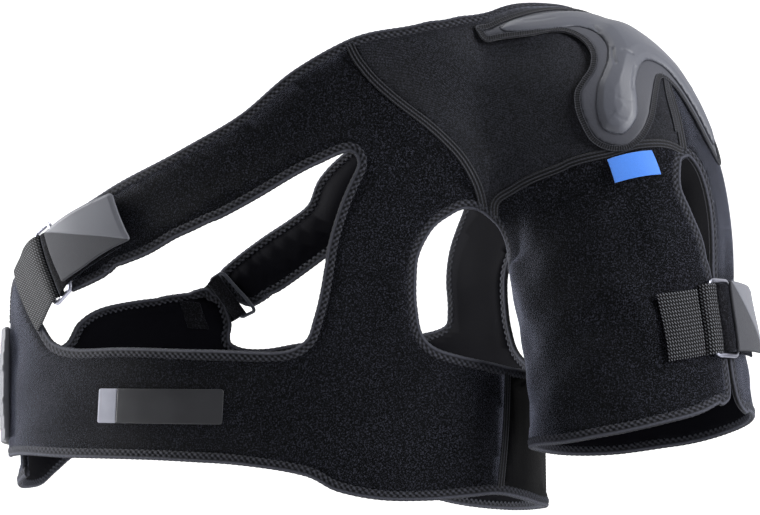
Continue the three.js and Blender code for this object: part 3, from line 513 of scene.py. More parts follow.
# Belt side. A darker, smooth elastic cloth under the arm lets the belt stretch round the chest.
side_finish = Finish("side_elastic", Specular_IOR_Level=0.05)
side_flat = side_finish.axes(side_finish.flat())
RIB_PITCH = 5200.0
side_ribs = (side_flat[1] * RIB_PITCH).sine().size()
side_grain = side_finish.noise(900, 3.0)
side_finish.colour(side_finish.mixed(
    side_ribs * side_grain, (0.0005, 0.0006, 0.001), (0.003, 0.0032, 0.0046),
))
side_finish.rough(0.55 + 0.3 * side_grain)
side_finish.relief(side_ribs + side_grain * 0.6, 0.00025, 0.8)
side_outline = np.vstack([
    SIDE_SEAM_FRONT, stretch(ARMHOLE_LOW_FRONT, (0.578, 1.83), (0.57, 2))[1:-1],
    stretch(ARMHOLE_LOW_BACK + (0, 4), (0.57, 2), (0.58, 2.18)), (SIDE_SEAM_BACK + (0, 4))[::-1][1:],
    stretch(HEM_BACK + (0, 4), (0.012, 2.25), (0.012, 2))[1:-1],
    stretch(HEM_FRONT, (0.012, 2), (0.04, 1.76))[:-1],
])
side_cloth = cut_panel("side_cloth", side_outline)
finish_cloth(side_cloth, side_finish.material, "side_panel")


# Shoulder panel. Neoprene faced with a fine knit, whose small holes stand in diagonal rows. It runs
# from the chest seam over the shoulder to the back, under the moulded pad.
ARMHOLE_HIGH_FRONT = taped([
    (1.46, 1.44), (1.515, 1.455), (1.6, 1.55), (1.72, 1.7), (1.86, 1.85), (2.05, 2.0),
], ARMHOLE_SIDE)
ARMHOLE_HIGH_BACK = ARMHOLE_HIGH_FRONT * (1, -1)
SLEEVE_SEAM_FRONT = smooth([
    (1.515, 1.455), (1.53, 1.34), (1.62, 1.225), (1.72, 1.03), (1.776, 0.83), (1.8, 0.62), (1.82, 0.45),
    (1.838, 0.355),
])
SLEEVE_SEAM_BACK = smooth([
    (1.838, 0.355), (1.8, 0.3), (1.745, 0.2), (1.715, 0.05), (1.715, -0.12), (1.745, -0.4), (1.77, -0.7),
    (1.72, -1.02), (1.62, -1.23), (1.53, -1.36), (1.515, -1.46),
])
knit = Finish("shoulder_knit", Sheen_Weight=0.2, Sheen_Roughness=0.35, Specular_IOR_Level=0.12)
knit.shader.inputs["Sheen Tint"].default_value = (0.62, 0.66, 0.85, 1)
knit_flat = knit.axes(knit.flat())
KNIT_PITCH = 3400.0
knit_rise = ((knit_flat[0] + knit_flat[1]) * KNIT_PITCH).sine()
knit_fall = ((knit_flat[0] - knit_flat[1]) * KNIT_PITCH).sine()
knit_holes = (knit_rise * knit_fall).over(0.35, 0.3)
knit_grain = knit.noise(900, 4.0, 0.75)
knit_cloud = knit.noise(24, 3.0)
knit.colour(knit.mixed(
    (1 - knit_holes) * knit_grain.over(0.53, 0.14) * (0.3 + knit_cloud),
    (0.0008, 0.0009, 0.0014), (0.03, 0.0315, 0.042),
))
knit.rough(0.6 + 0.3 * knit_grain)
knit.relief(knit_grain * 0.5 - knit_holes * 0.6, 0.0003, 0.6)
shoulder_outline = np.vstack([
    DIAGONAL_FRONT, NECK_FRONT[NECK_FRONT[:, 0] > 1.335], NECK_BACK[NECK_BACK[:, 0] > 1.335][1:],
    DIAGONAL_BACK[::-1][:-1], stretch(ARMHOLE_HIGH_BACK, (1.46, -1.45), (1.515, -1.455)),
    SLEEVE_SEAM_BACK[::-1][1:], SLEEVE_SEAM_FRONT[::-1][1:-1],
    stretch(ARMHOLE_HIGH_FRONT, (1.515, 1.455), (1.46, 1.44))[:-1],
])
shoulder_cloth = cut_panel("shoulder_cloth", shoulder_outline)
finish_cloth(shoulder_cloth, knit.material, "shoulder_panel")


# Sleeve. Two cuts of neoprene meet inside the arm: the front one with the strap's webbing, and the rear
# flap whose free edge stands beside the slit. A teardrop vent ends the slit at the top.
VENT_FRONT = smooth([
    (1.838, 0.355), (1.845, 0.42), (1.885, 0.475), (1.93, 0.42), (1.985, 0.32), (2.06, 0.27), (2.14, 0.262),
])
VENT_REAR = smooth([
    (1.838, 0.355), (1.842, 0.3), (1.87, 0.235), (1.92, 0.2), (1.99, 0.19), (2.06, 0.19), (2.14, 0.187),
])
SLIT_FRONT = smooth([
    (2.14, 0.262), (2.3, 0.262), (2.5, 0.258), (2.64, 0.25), (2.725, 0.262), (2.755, 0.32),
])
SLIT_REAR = smooth([(2.14, 0.187), (2.3, 0.175), (2.5, 0.165), (2.65, 0.15), (2.745, 0.11), (2.785, 0.03)])
CUFF_FRONT = taped([
    (2.755, 0.32), (2.82, 0.5), (2.87, 0.72), (2.91, 0.91), (2.94, 1.06), (2.965, 1.27), (2.97, 1.6),
    (2.975, 2.0),
], CUFF_SIDE)
CUFF_BACK = taped([
    (2.975, -2.0), (2.985, -1.65), (2.975, -1.3), (2.93, -0.95), (2.86, -0.55), (2.81, -0.2), (2.785, 0.03),
], CUFF_SIDE)
INNER_ARM_SEAM = smooth([(2.975, 2.0), (2.5, 2.0), (2.05, 2.0)])
sleeve_outline = np.vstack([
    SLEEVE_SEAM_FRONT[:-1], VENT_FRONT[:-1], SLIT_FRONT[:-1], CUFF_FRONT[:-1], INNER_ARM_SEAM[:-1],
    stretch(ARMHOLE_HIGH_FRONT, (2.05, 2), (1.515, 1.455))[:-1],
])
flap_outline = np.vstack([
    SLEEVE_SEAM_BACK[::-1][:-1], VENT_REAR[:-1], SLIT_REAR[:-1], CUFF_BACK[::-1][:-1],
    (INNER_ARM_SEAM - (0, 4))[:-1], stretch(ARMHOLE_HIGH_BACK, (2.05, -2), (1.515, -1.455))[:-1],
])
sleeve_cloth = cut_panel("sleeve_cloth", sleeve_outline)
finish_cloth(sleeve_cloth, neoprene, "sleeve_panel")
flap_cloth = cut_panel("flap_cloth", flap_outline)
finish_cloth(flap_cloth, neoprene, "sleeve_flap")


# Bindings. Every cut edge is wrapped in folded stretch tape: a rolled bead over the edge itself, and
# beside it a row of cross stitches that pulls the tape into small puffed diamonds, 6 mm apart.
def swept(name, edge, section, step, sides, closed=False, layer=None, lift=0.0):
    """Carries a closed section along an edge: section(s, v) gives across and out in mm, and a tone of
    painted light and shade, kept in the Share layer.
    """
    off = layer(edge[:, 0], edge[:, 1]) if layer else np.zeros(len(edge))
    rough_line = place(edge[:, 0], edge[:, 1], off + lift) / MM
    run = arc_lengths(rough_line)
    count = max(int(run[-1] / step), 4)
    s = np.linspace(0, run[-1], count + 1)
    if closed:
        s = s[:-1]
    along, around = np.interp(s, run, edge[:, 0]), np.interp(s, run, edge[:, 1])
    line = np.stack([np.interp(s, run, rough_line[:, k]) for k in range(3)], -1)
    ahead = np.roll(line, -2, 0) - np.roll(line, 2, 0) if closed else np.gradient(line, axis=0)
    ahead = unit(ahead)
    across = unit(np.cross(outward(along, around), ahead))
    out = np.cross(ahead, across)
    v = np.linspace(0, 1, sides, endpoint=False)
    a, o, tone = section(s[:, None], v[None, :])
    points = line[:, None] + across[:, None] * a[..., None] + out[:, None] * o[..., None]
    rings = len(s)
    i, j = np.meshgrid(np.arange(rings if closed else rings - 1), np.arange(sides), indexing="ij")
    n, t = (i + 1) % rings, (j + 1) % sides
    quads = np.stack([i * sides + j, i * sides + t, n * sides + t, n * sides + j], -1)
    faces = quads.reshape(-1, 4).tolist()
    if not closed:
        faces.append(list(range(sides))[::-1])
        faces.append(list(range((rings - 1) * sides, rings * sides)))
    uv = np.stack(np.broadcast_arrays(s[:, None] * MM, v[None, :]), -1)
    # the tone is painted light and shade, stored in the Share layer for the colour
    tones = np.stack(np.broadcast_arrays(tone, v[None, :]), -1)
    return mesh_piece(name, points * MM, faces, UVMap=uv, Share=tones)


TAPE_STEP, TAPE_SIDES = 0.85, 24


def tape_section(free):
    """Flat oval with a bead on the free side and puffs, dented where the stitches cross. The tone it
    returns is painted light: painted highlights on the bead and puffs, painted shade in the groove and
    dents.
    """
    def section(s, v):
        turn = 2 * np.pi * v
        c, w = np.cos(turn), np.sin(turn)
        x = np.sign(c) * np.abs(c) ** 0.8
        side = x * free
        bead = np.exp(-((side - 0.62) / 0.3) ** 2)
        groove = np.exp(-((side - 0.12) / 0.1) ** 2)
        lane = np.clip((side + 0.9) / 0.95, 0, 1)
        cross = np.sin(np.pi * (s / STITCH + lane)) * np.sin(np.pi * (s / STITCH - lane))
        puff = np.where(side < 0.1, np.abs(cross) ** 0.6, 0) * np.clip((side + 1.0) / 0.25, 0, 1)
        wall = TAPE_WALL * (0.66 + 0.4 * bead - 0.24 * groove + 0.5 * puff)
        pull = 1 - 0.03 * np.cos(2 * np.pi * s / STITCH)
        # painted light: the bead and the puffs get a painted highlight, the groove and the stitch dents get
        # painted shade
        tone = np.clip(0.75 * puff + 0.8 * bead - 0.5 * groove, 0, 1)
        return TAPE_HALF * x * pull, wall * np.sign(w) * np.abs(w) ** 0.75, tone
    return section


tape_finish = Finish("binding_tape", Sheen_Weight=0.14, Sheen_Roughness=0.3, Specular_IOR_Level=0.15)
tape_finish.shader.inputs["Sheen Tint"].default_value = (0.65, 0.69, 0.88, 1)
tape_flat = tape_finish.axes(tape_finish.flat())
# the Share layer's first value is the tape's painted light: highlights on bead and puffs, painted shade in
# the groove and dents
tape_painted_light = tape_finish.axes(tape_finish.flat("Share"))[0]
tape_ribs = (tape_flat[0] * 9000.0).sine().size()
tape_grain = tape_finish.noise(800, 3.0, 0.7)
# the tape's colour runs from painted shade to painted highlight along that mask
tape_finish.colour(tape_finish.mixed(
    tape_painted_light.over(0.45, 0.3) * (0.5 + 0.7 * tape_grain), (0.0012, 0.0013, 0.002), (0.045, 0.047, 0.061),
))
tape_finish.rough(0.62 + 0.25 * tape_grain)
tape_finish.relief(tape_ribs * 0.5 + tape_grain, 0.0003, 0.8)
ARMHOLE = np.vstack([
    ARMHOLE_LOW_FRONT[:-1], ARMHOLE_HIGH_FRONT, (ARMHOLE_HIGH_BACK + (0, 4))[::-1][1:-1],
    (ARMHOLE_LOW_BACK + (0, 4))[::-1][:-1],
])
BELT_HEM = np.vstack([HEM_FRONT, (HEM_BACK + (0, 4))[1:]])
SLEEVE_EDGE = np.vstack([
    VENT_FRONT[:-1], SLIT_FRONT[:-1], CUFF_FRONT[:-1], (CUFF_BACK + (0, 4))[:-1],
    (SLIT_REAR + (0, 4))[::-1][:-1], (VENT_REAR + (0, 4))[::-1][:-1],
])


def belt_layer(along, around):
    return np.where(around > 2, wing_layer(along, around - 4), 0)


for name, edge, free, closed, layer in [
    ("neck_binding", NECK_FRONT, NECK_SIDE, False, None),
    ("front_opening_binding", FRONT_OPENING, FRONT_SIDE, False, None),
    ("back_opening_binding", np.vstack([NECK_BACK[4:-1], BACK_OPENING]), NECK_SIDE, False, wing_layer),
    ("armhole_binding", ARMHOLE, ARMHOLE_SIDE, True, None),
    ("belt_hem_binding", BELT_HEM, HEM_SIDE, False, belt_layer),
    ("sleeve_edge_binding", SLEEVE_EDGE, CUFF_SIDE, True, None),
]:
    tape_name = name.replace("binding", "tape")
    tape = swept(tape_name, edge, tape_section(free), TAPE_STEP, TAPE_SIDES, closed, layer)
    dress(tape, tape_finish.material, name)


# Seams. Panels are joined edge to edge by a flat seam: three raised thread rows with cover threads laid
# to and fro between them, on a strip that stands a little proud of the cloth.
SEAM_HALF, THREAD_PITCH = 3.3, 2.4
SEAM_STEP, SEAM_SIDES = 0.6, 26


def strip_sides(v, top_share):
    """Which points of a strip's section are on its top, and how far across each is, from 1 to -1."""
    top = v < top_share
    return top, np.where(top, 1 - v / top_share * 2, -1 + (v - top_share) / (1 - top_share) * 2)


def seam_section(s, v):
    """Low strip: a flat underside in the cloth, and a top with three ridges beaded at each stitch. Its tone
    follows the height as painted light: raised threads lighter, low parts painted shade.
    """
    top, x = strip_sides(v, 0.75)
    ridges = sum(np.exp(-((x - middle) / 0.15) ** 2) for middle in (-0.72, 0, 0.72))
    beads = 0.55 + 0.45 * np.abs(np.sin(np.pi * s / THREAD_PITCH))
    weave = np.abs(np.sin(np.pi * (s / THREAD_PITCH + 1.5 * x)))
    height = 0.25 + 0.55 * ridges * beads + 0.22 * weave * (1 - np.abs(x))
    # the third value is painted light: tone rises with height, so ridges and beads get a painted highlight
    # and low parts painted shade
    return SEAM_HALF * x + 0 * s, np.where(top, height, -0.7) + 0 * s, np.clip(1.6 * height - 0.5, 0, 1)


seam_finish = Finish("seam_thread_painted_light", Sheen_Weight=0.12, Sheen_Roughness=0.3, Specular_IOR_Level=0.2)
seam_thread_painted_light = seam_finish.axes(seam_finish.flat("Share"))[0]
seam_grain = seam_finish.noise(900, 3.0)
# seam colour from the painted light: raised threads lighter as a painted highlight, low parts darker as
# painted shade; the blanket stitches share it
seam_finish.colour(seam_finish.mixed(
    seam_thread_painted_light.over(0.4, 0.3) * (0.4 + 0.8 * seam_grain), (0.0012, 0.0013, 0.002), (0.027, 0.0284, 0.037),
))
seam_finish.rough(0.6 + 0.25 * seam_grain)
seam_finish.relief(seam_grain, 0.0003, 0.8)
# each seam stops a few samples short of the tapes at its ends
for name, edge in [
    ("chest_seam", DIAGONAL_FRONT[4:-4]),
    ("back_chest_seam", DIAGONAL_BACK[4:-4]),
    ("sleeve_seam", SLEEVE_SEAM_FRONT[6:-3]),
    ("back_sleeve_seam", SLEEVE_SEAM_BACK[3:-6]),
    ("belt_side_seam", SIDE_SEAM_FRONT[2:-2]),
    ("belt_back_side_seam", SIDE_SEAM_BACK[2:-2]),
    ("inner_arm_seam", INNER_ARM_SEAM[2:-2]),
]:
    seam = swept(name, edge, seam_section, SEAM_STEP, SEAM_SIDES, lift=CLOTH / 2)
    dress(seam, seam_finish.material)


# Front closure. Grey elastic webbing, sewn to the belt's riser, turns round one bar of a pressed metal
# ring. The chest strap's plush end turns round the other bar and is held down by a moulded rubber tab.
RING_WIRE, WEBBING_WALL, HOOK_WALL, TAB_WALL = 3.4, 1.6, 1.8, 2.6
FAN_STRETCH = 6.0


def level(along):
    """Pattern height in even steps of cloth: past the armpit level, one turn of the fan is far longer."""
    return np.where(along > 1, 1 + (along - 1) * FAN_STRETCH, along)


def unlevel(height):
    return np.where(height > 1, 1 + (height - 1) / FAN_STRETCH, height)


def edge_samples(length, step, rim):
    """Distances along a side, closer together over the rounded rim at both ends."""
    start = rim * np.array([0, 0.08, 0.3, 0.62])
    count = max(int((length - 2 * rim) / step), 2)
    return np.concatenate([start, np.linspace(rim, length - rim, count + 1), length - start[::-1]])


def rounded_rim(distance, rim):
    """Height share of a half-round edge, from 0 at the edge to 1 at the rim's depth."""
    return np.sqrt(1 - (1 - np.clip(distance / rim, 0, 1)) ** 2)


def closed_sheet(name, top, bottom, kept, **uvs):
    """Joins two grids of points, whose border points are the same, into one closed surface."""
    full, touch = whole_cells(kept)
    upper = cell_faces(full)
    border = ((touch > 0) & (touch < 4)).ravel()
    below = np.arange(kept.size) + kept.size
    below[border] -= kept.size
    lower = below[upper][:, ::-1]
    faces = np.vstack([upper, lower])
    used, faces = np.unique(faces, return_inverse=True)
    points = np.vstack([top.reshape(-1, 3), bottom.reshape(-1, 3)])[used]
    faces = faces.reshape(-1, 4)
    a, b, d = (points[faces[:len(upper), k]] for k in (0, 1, 3))
    rise = (top - bottom).reshape(-1, 3)[upper[:, 0]]
    if (np.cross(b - a, d - a) * rise).sum() < 0:
        faces = faces[:, ::-1]
    doubled = {key: np.vstack([uv.reshape(-1, 2)] * 2)[used] for key, uv in uvs.items()}
    return mesh_piece(name, points, faces.tolist(), **doubled)


def band(name, rows, wall, step=0.8, corners=(0.3, 0.3), relief=None, rim=None):
    """A flat band through rows of (upper along, upper around, lower along, lower around, off in mm).

    A smooth curve joins the rows. Both faces stand half the wall off it, with rounded edges, and
    relief(s, w) raises the outer face, where s and w run from 0 to 1 along the band and across it."""
    rim = rim or wall / 2
    rows = np.array(rows, float)
    rows[:, (0, 2)] = level(rows[:, (0, 2)])
    if len(rows) == 2:
        rows = rows[0] + (rows[1] - rows[0]) * np.linspace(0, 1, 4)[:, None]
    route = smooth(rows, 12, (1, 0.6, 1, 0.6, 0.005))
    middle = (route[:, 0] + route[:, 2]) / 2, (route[:, 1] + route[:, 3]) / 2
    run = arc_lengths(place(unlevel(middle[0]), middle[1], route[:, 4]) / MM)
    length = run[-1]
    centre = len(route) // 2
    upper, lower = (place(unlevel(route[centre, k]), route[centre, k + 1]) for k in (0, 2))
    width = np.linalg.norm(upper - lower) / MM
    s = edge_samples(length, step, rim)
    w = edge_samples(width, step, rim)
    route = np.stack([np.interp(s, run, route[:, k]) for k in range(5)], -1)[:, None]
    first, last = (np.clip(1 - gap / radius, 0, 1) for gap, radius in zip((s, length - s), corners))
    inset = (1 - np.sqrt(1 - first ** 2)) * corners[0] + (1 - np.sqrt(1 - last ** 2)) * corners[1]
    share = (inset[:, None] + w[None, :] / width * (width - 2 * inset[:, None])) / width
    along = unlevel(route[..., 0] + (route[..., 2] - route[..., 0]) * share)
    around = route[..., 1] + (route[..., 3] - route[..., 1]) * share
    sheet = place(along, around, np.broadcast_to(route[..., 4], along.shape)) / MM
    normal = unit(np.cross(np.gradient(sheet, axis=1), np.gradient(sheet, axis=0)))
    normal = normal * np.sign((normal[0] * outward(along[0], around[0])).sum() or 1)
    lift = rounded_rim(np.minimum(s, length - s)[:, None], rim) * rounded_rim(np.minimum(w, width - w), rim)
    face = lift * (wall / 2)
    extra = lift * relief(s[:, None] / length, share) if relief else 0
    top = sheet + normal * (face + extra)[..., None]
    bottom = sheet - normal * face[..., None]
    flat = np.stack(np.broadcast_arrays(s[:, None] * MM, share * width * MM), -1)
    shares = np.stack(np.broadcast_arrays(s[:, None] / length, share), -1)
    kept = np.ones(along.shape, bool)
    piece = closed_sheet(name, top * MM, bottom * MM, kept, UVMap=flat, Share=shares)
    piece["flat_width"], piece["flat_length"] = width * MM, length * MM
    return piece


def fit_band(piece, material, node=None):
    """Dresses a band."""
    dress(piece, material, node)


BEND_SHARE, WIRE_STEP, WIRE_SIDES = 0.2, 0.5, 20


def rounded(corners):
    """A closed loop past four corners, each cut off by a quadratic curve over a share of its sides."""
    c = np.array(corners, float)
    t = np.linspace(0, 1, 9)[:, None]
    before = c + (np.roll(c, 1, 0) - c) * BEND_SHARE
    after = c + (np.roll(c, -1, 0) - c) * BEND_SHARE
    bends = [b * (1 - t) ** 2 + 2 * k * t * (1 - t) + a * t ** 2 for b, k, a in zip(before, c, after)]
    return np.vstack(bends)


def ring(name, corners, off, wire, material):
    """Pressed wire: a superellipse section, wider than it is high, carried round a rounded loop.

    The loop's bars are straight in the pattern's level steps, as the bands' sides are."""
    def section(s, v):
        c, w = np.cos(2 * np.pi * v), np.sin(2 * np.pi * v)
        flat = np.sign(w) * np.abs(w) ** 0.8 * wire * 0.42
        return np.sign(c) * np.abs(c) ** 0.8 * wire / 2 + 0 * s, flat + 0 * s, 0 * s
    loop = rounded([(level(along), around) for along, around in corners])
    loop = np.vstack([loop, loop[:1]])
    t = np.linspace(0, len(loop) - 1, 8 * len(loop))[:-1]
    loop = np.stack([np.interp(t, np.arange(len(loop)), loop[:, k]) for k in range(2)], -1)
    loop[:, 0] = unlevel(loop[:, 0])
    piece = swept(name + "_wire", loop, section, WIRE_STEP, WIRE_SIDES, closed=True, lift=off)
    dress(piece, material, name)


plating = grained("ring_plating", (160, 3.0), ((0.2, 0.205, 0.25), (0.33, 0.335, 0.4)), (0.22, 0.2),
                  Metallic=1.0)
webbing = Finish("elastic_webbing", Specular_IOR_Level=0.1)
WALE, COURSE = 2.6, 2.0
webbing_flat = webbing.axes(webbing.flat())
webbing_along = webbing_flat[0] * (2 * np.pi / (COURSE * MM))
webbing_across = webbing_flat[1] * (2 * np.pi / (WALE * MM))
webbing_weave = (webbing_along + webbing_across.sine() * 1.1).sine() * (webbing_across * 0.5).sine().size()
webbing_knots = webbing_weave.over(0.42, 0.22)
webbing_hairs = webbing.noise(1600, 3.0, 0.7)
webbing.colour(webbing.mixed(
    webbing_knots * (0.55 + 0.6 * webbing_hairs), (0.0012, 0.0012, 0.0016), (0.105, 0.108, 0.122),
))
webbing.rough(0.55 + 0.3 * webbing_hairs)
webbing.relief(webbing_knots + webbing_hairs * 0.25, 0.0006, 0.8)
strap_plush = plush("strap_plush", (0.001, 0.001, 0.0016), (0.03, 0.031, 0.039), 0.2)


def tab_rubber(name, dark, light):
    """Moulded rubber: a smooth paler face over the diagonal, and below it a fine dotted grain."""
    finish = Finish(name, Specular_IOR_Level=0.25)
    share = finish.axes(finish.flat("Share"))
    flat = finish.axes(finish.flat())
    below = (share[1] - share[0]).over(0.0, 0.012)
    dots = (flat[0] * 7000.0).sine() * (flat[1] * 7000.0).sine()
    dust = finish.noise(300, 4.0)
    finish.colour(finish.mixed(below * (0.8 + 0.2 * dots), light, dark))
    finish.rough(0.5 + 0.25 * below + 0.14 * dust)
    finish.relief(dots * below * 0.5 + dust * 0.25, 0.00018, 0.7)
    return finish.material


def tab_relief(s, w):
    """The pale face stands 0.5 mm above the dotted one, inside a rim 4 percent wide."""
    middle = np.clip((s - w) / 0.02, 0, 1) * np.clip((np.minimum(w, 1 - s) - 0.035) / 0.02, 0, 1)
    return 0.5 * middle + 0 * s


front_webbing = band("front_webbing_band", [
    (1.006, 0.318, 0.755, 0.521, 2.75), (1.014, 0.39, 0.805, 0.552, 3.6), (1.02, 0.44, 0.845, 0.584, 6.2),
    (1.025, 0.49, 0.88, 0.611, 7.8), (1.0275, 0.512, 0.894, 0.623, 6.0), (1.0275, 0.516, 0.896, 0.625, 3.4),
], WEBBING_WALL)
fit_band(front_webbing, webbing.material, "front_strap_webbing")
ring("front_ring", [(1.028, 0.49), (1.037, 0.556), (0.933, 0.668), (0.86, 0.607)], 4.8, RING_WIRE,
     plating)
front_hook = band("front_hook_band", [
    (1.029, 0.53, 0.9, 0.638, 2.4), (1.0275, 0.523, 0.896, 0.631, 4.6), (1.028, 0.532, 0.9, 0.637, 7.0),
    (1.031, 0.56, 0.94, 0.65, 6.4), (1.04, 0.615, 0.997, 0.7, 5.0), (1.05, 0.69, 1.011, 0.765, 3.7),
    (1.06, 0.74, 1.02, 0.812, 2.9),
], HOOK_WALL)
fit_band(front_hook, strap_plush, "front_strap_hook")
rubber = tab_rubber("rubber_grey", (0.017, 0.0175, 0.021), (0.1, 0.103, 0.12))
front_tab = band("front_tab", [
    (1.029, 0.557, 0.954, 0.645, 8.8), (1.041, 0.624, 1.002, 0.708, 8.0),
    (1.053, 0.692, 1.0147, 0.773, 6.4), (1.065, 0.759, 1.026, 0.838, 5.0),
], TAB_WALL, 0.45, (1.5, 3.5), tab_relief, 0.8)
fit_band(front_tab, rubber, "front_strap_tab")


# Arm closure. The same parts, larger, across the slit of the sleeve: a webbing patch sewn to the front,
# its loop round the ring, a plush strap round the ring's other bar, and a rubber tab that stands off.
arm_webbing = band("arm_webbing_patch", [
    (2.2, 0.675, 2.557, 0.675, 2.75), (2.182, 0.52, 2.538, 0.535, 2.75), (2.165, 0.395, 2.52, 0.425, 2.9),
], WEBBING_WALL)
fit_band(arm_webbing, webbing.material, "arm_strap_webbing")
arm_loop = band("arm_webbing_loop", [
    (2.15, 0.385, 2.525, 0.42, 2.3), (2.148, 0.38, 2.522, 0.418, 4.8), (2.145, 0.355, 2.52, 0.395, 7.0),
    (2.14, 0.315, 2.515, 0.355, 7.6), (2.138, 0.275, 2.512, 0.318, 6.8), (2.136, 0.255, 2.51, 0.3, 4.6),
    (2.136, 0.252, 2.51, 0.297, 2.4),
], WEBBING_WALL)
fit_band(arm_loop, webbing.material)
ring("arm_ring", [(2.12, 0.31), (2.112, 0.1), (2.515, 0.14), (2.52, 0.36)], 4.6, RING_WIRE,
     plating)
arm_hook = band("arm_hook_band", [
    (2.135, 0.235, 2.5, 0.275, 2.6), (2.135, 0.23, 2.5, 0.272, 4.8), (2.134, 0.2, 2.5, 0.24, 6.6),
    (2.132, 0.14, 2.498, 0.18, 7.2), (2.13, 0.08, 2.495, 0.12, 7.2), (2.13, 0.0, 2.495, 0.03, 7.2),
], HOOK_WALL)
fit_band(arm_hook, strap_plush)
arm_hook_under = band("arm_hook_under", [
    (2.125, 0.07, 2.5, 0.11, 3.9), (2.13, -0.15, 2.5, -0.12, 3.9),
], HOOK_WALL)
fit_band(arm_hook_under, strap_plush, "arm_strap_hook")
arm_tab = band("arm_tab", [
    (2.118, 0.15, 2.498, 0.2, 9.4), (2.118, 0.03, 2.492, 0.07, 9.6), (2.12, -0.1, 2.487, -0.07, 9.8),
    (2.135, -0.22, 2.48, -0.2, 10.2),
], TAB_WALL, 0.5, (1.0, 4.0), tab_relief, 0.8)
fit_band(arm_tab, rubber, "arm_strap_tab")


# Back closure, seen from inside through the front opening. Black webbing starts on the outside of the
# belt's back half, turns round a thin dark ring and ends inside, beside a sewn patch. The ring holds the
# back strap's end.
back_patch = band("back_patch", [
    (0.985, -0.63, 0.862, -0.655, -3.3), (0.975, -0.69, 0.855, -0.715, -3.3),
], 1.0)
fit_band(back_patch, strap_plush, "back_webbing_patch")
back_webbing = band("back_webbing_band", [
    (0.992, -0.64, 0.85, -0.715, 3.4), (1.002, -0.672, 0.868, -0.745, 3.4),
    (1.01, -0.705, 0.89, -0.778, 1.6), (1.0165, -0.727, 0.913, -0.804, -1.7),
    (1.0195, -0.738, 0.922, -0.817, -4.2), (1.0165, -0.727, 0.913, -0.804, -6.6),
    (1.011, -0.712, 0.898, -0.788, -6.8),
], WEBBING_WALL)
fit_band(back_webbing, strap_plush, "back_webbing")
THIN_WIRE = 2.6
dark_paint = grained("dark_paint", (220, 3.0), ((0.012, 0.014, 0.022), (0.035, 0.039, 0.055)), (0.28, 0.2),
                     Specular_IOR_Level=0.6)
ring("back_ring", [(1.014, -0.717), (1.022, -0.752), (0.938, -0.843), (0.905, -0.803)], -4.2, THIN_WIRE,
     dark_paint)


# Pull tab. A grip of moulded rubber at the belt's end, stepped like a short stair towards its free side.
def pull_relief(s, w):
    """Three low steps down the grip, and a sunk field between them."""
    steps = 0.5 * sum(np.clip((np.abs(w - 0.5) - edge) / 0.012, 0, 1) for edge in (0.16, 0.27, 0.38))
    return 1.6 - steps - 0.7 * np.clip((0.12 - np.abs(w - 0.5)) / 0.015, 0, 1) + 0 * s


PULL_WALL = 4.2
pull_rubber = grained("pull_rubber", (320, 4.0), ((0.05, 0.052, 0.06), (0.075, 0.078, 0.09)), (0.5, 0.16),
                      (0.0002, 0.6), Specular_IOR_Level=0.4)
pull_tab = band("pull_tab", [
    (0.8, 0.31, 0.3, 0.31, 5.0), (0.8, 0.14, 0.3, 0.14, 5.2), (0.8, -0.03, 0.3, -0.03, 5.0),
], PULL_WALL, 0.8, (4.0, 4.0), pull_relief, 1.6)
fit_band(pull_tab, pull_rubber, "belt_pull_tab")


# Belt label and seam tag. A foil square and a dark satin film on the belt, and a small woven blue tag in
# the sleeve seam. All three are bare.
foil = grained("label_foil", (90, 2.0, 0.5), ((0.17, 0.175, 0.21), (0.26, 0.265, 0.31)), (0.45, 0.16),
               Metallic=0.4)
film = grained("label_film", (45, 3.0), ((0.006, 0.0063, 0.0085), (0.015, 0.0157, 0.02)), (0.3, 0.2),
               Specular_IOR_Level=0.5)
SPLIT, SPLIT_GAP = 0.19, 0.003
LABEL_OFF, LABEL_WALL = 2.35, 0.8


def label_row(share):
    """One upright row of the label, at a share of its length."""
    upper = (0.497 - 0.02 * share, 0.75 + 0.275 * share)
    lower = (0.352 - 0.022 * share, 0.742 + 0.278 * share)
    return (*upper, *lower, LABEL_OFF)


plate_rows = [label_row(0), label_row(SPLIT - SPLIT_GAP)]
plate = band("label_plate", plate_rows, LABEL_WALL, corners=(1.5, 0.3))
fit_band(plate, foil, "belt_label_plate")
strip_rows = [label_row(SPLIT + SPLIT_GAP), label_row(0.6), label_row(1)]
strip = band("label_strip", strip_rows, LABEL_WALL, corners=(0.3, 2.0))
fit_band(strip, film, "belt_label_strip")
satin = Finish("tag_satin", Sheen_Weight=0.3, Specular_IOR_Level=0.45)
satin_flat = satin.axes(satin.flat())
satin_threads = (satin_flat[1] * 9000.0).sine().size()
satin_grain = satin.noise(900, 3.0)
satin.colour(satin.mixed(
    satin_threads * (0.5 + 0.5 * satin_grain), (0.012, 0.09, 0.42), (0.04, 0.22, 0.75),
))
satin.rough(0.4 + 0.2 * satin_grain)
satin.relief(satin_threads, 0.0002, 0.6)
tag = band("tag", [(1.79, 0.825, 1.84, 0.835, 3.4), (1.818, 0.575, 1.86, 0.57, 3.4)], 0.8)
fit_band(tag, satin.material, "seam_tag")


